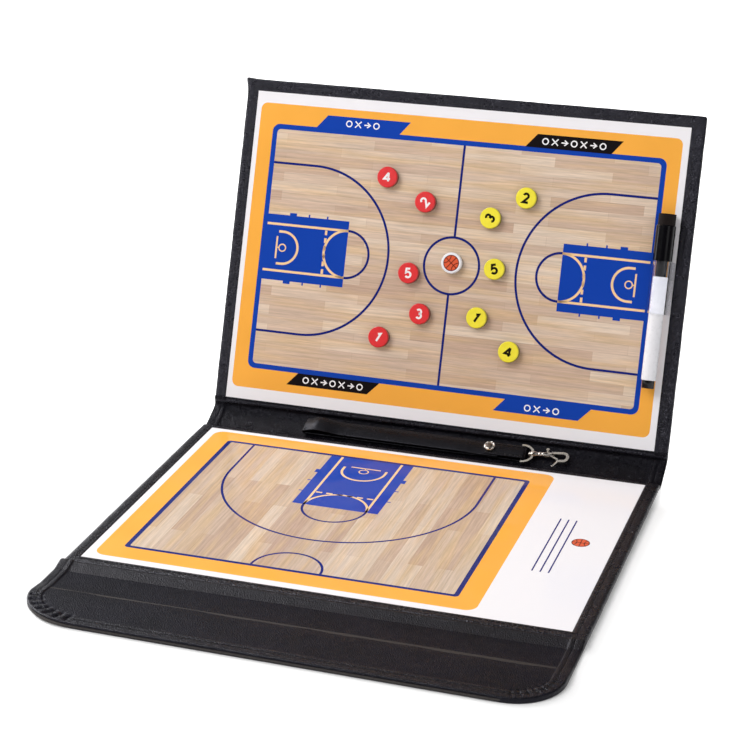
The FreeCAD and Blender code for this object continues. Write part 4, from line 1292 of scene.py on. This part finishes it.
# Lengths in metres, but for the floor's drop in mm
FLOOR_SIZE = 8.0
FLOOR_DROP = 0.3
FLOOR_LIFT = 0.12
FLOOR_FADE = (0.005, 0.05)
FLOOR_SHADE_MIDDLE = (0.0, -0.06, 0.0)
FLOOR_SHADE_HALF = (0.16, 0.135, 1.0)
AMBIENT = 0.36
LIGHTS = (
    ("key", (-0.9, -0.9, 1.5), 1.3, 20.0),
    ("fill", (1.3, -0.9, 1.1), 1.2, 4.0),
    ("top", (-0.4, 0.2, 1.9), 0.9, 1.5),
    ("back", (-1.1, 0.55, 1.15), 0.6, 8.0),
    ("side", (-1.25, 0.4, 0.42), 0.9, 10.0),
)
AIM = Vector((0.0, 0.0, 0.06))


def floor_finish():
    """White floor that keeps the shadow; the camera and mirrors see it a little lighter."""
    made = Finish("floor_white", roughness=0.9, specular_ior_level=0.1, emission_color=(1, 1, 1, 1))
    made.set("Base Color", made.mixed(made.noise(3.0), srgb(240, 240, 240), srgb(244, 244, 244)))
    path = made.node("ShaderNodeLightPath")
    seen = made.math("MAXIMUM", path["Is Camera Ray"], path["Is Glossy Ray"])
    seen = made.math("MAXIMUM", seen, path["Is Transmission Ray"])
    reach = made.vector("ABSOLUTE", made.vector("SUBTRACT", made.place, FLOOR_SHADE_MIDDLE)[0])[0]
    past = made.vector("MAXIMUM", made.vector("SUBTRACT", reach, FLOOR_SHADE_HALF)[0])[0]
    lift = made.ranged(made.vector("LENGTH", past)["Value"], FLOOR_LIFT, 1.0, *FLOOR_FADE)
    made.set("Emission Strength", made.math("MULTIPLY", seen, lift))
    return made.material


def stage():
    """Floor, world and soft lamps."""
    mesh = bpy.data.meshes.new("floor")
    reach, low = FLOOR_SIZE / 2, -FLOOR_DROP * MM
    corners = [(x, y, low) for x, y in ((-reach, -reach), (reach, -reach), (reach, reach), (-reach, reach))]
    mesh.from_pydata(corners, [], [(0, 1, 2, 3)])
    mesh.materials.append(floor_finish())
    added("floor", mesh)

    world = bpy.data.worlds.new("studio")
    bpy.context.scene.world = world
    world.use_nodes = True
    sky = Nodes(world.node_tree)
    background = sky.tree.nodes["Background"].inputs
    background["Color"].default_value = (1, 1, 1, 1)

    # Mirrored in the object, the studio is bright behind and to the left and dark in front
    path = sky.node("ShaderNodeLightPath")
    way = sky.node("ShaderNodeSeparateXYZ", {0: sky.node("ShaderNodeTexCoord")["Generated"]})
    left = sky.ranged(way["X"], 0.25, 1.0, 0.1, -0.6)
    behind = sky.ranged(way["Y"], 0.25, 1.0, -0.4, 0.5)
    overhead = sky.ranged(way["Z"], 0.55, 0.3, 0.35, 0.75)
    mirrored = sky.math("MULTIPLY", sky.math("MULTIPLY", left, behind), overhead)
    glossy = sky.node("ShaderNodeMix", {0: path["Is Glossy Ray"], 2: AMBIENT, 3: mirrored})[0]
    seen = sky.math("MAXIMUM", path["Is Camera Ray"], path["Is Transmission Ray"])
    level = sky.node("ShaderNodeMix", {0: seen, 2: glossy, 3: 1.0})[0]
    sky.tree.links.new(level, background["Strength"])

    for name, place, size, power in LIGHTS:
        lamp = bpy.data.lights.new(name, "AREA")
        lamp.shape = "DISK"
        lamp.size = size
        lamp.energy = power
        holder = added(name, lamp)
        holder.location = place
        holder.rotation_euler = (AIM - Vector(place)).to_track_quat("-Z", "Y").to_euler()


def camera():
    """The photo's camera."""
    lens = bpy.data.cameras.new("photo_camera")
    lens.sensor_width = CAMERA_SENSOR
    lens.lens = CAMERA_LENS
    holder = added("photo_camera", lens)
    matrix = Matrix.Translation(Vector(CAMERA_PLACE) * MM)
    for angle, axis in ((CAMERA_AZIMUTH, "Z"), (90 - CAMERA_ELEVATION, "X"), (CAMERA_ROLL, "Z")):
        matrix = matrix @ Matrix.Rotation(math.radians(angle), 4, axis)
    holder.matrix_world = matrix
    bpy.context.scene.camera = holder


stage()
camera()
bpy.context.scene.view_settings.view_transform = "Standard"
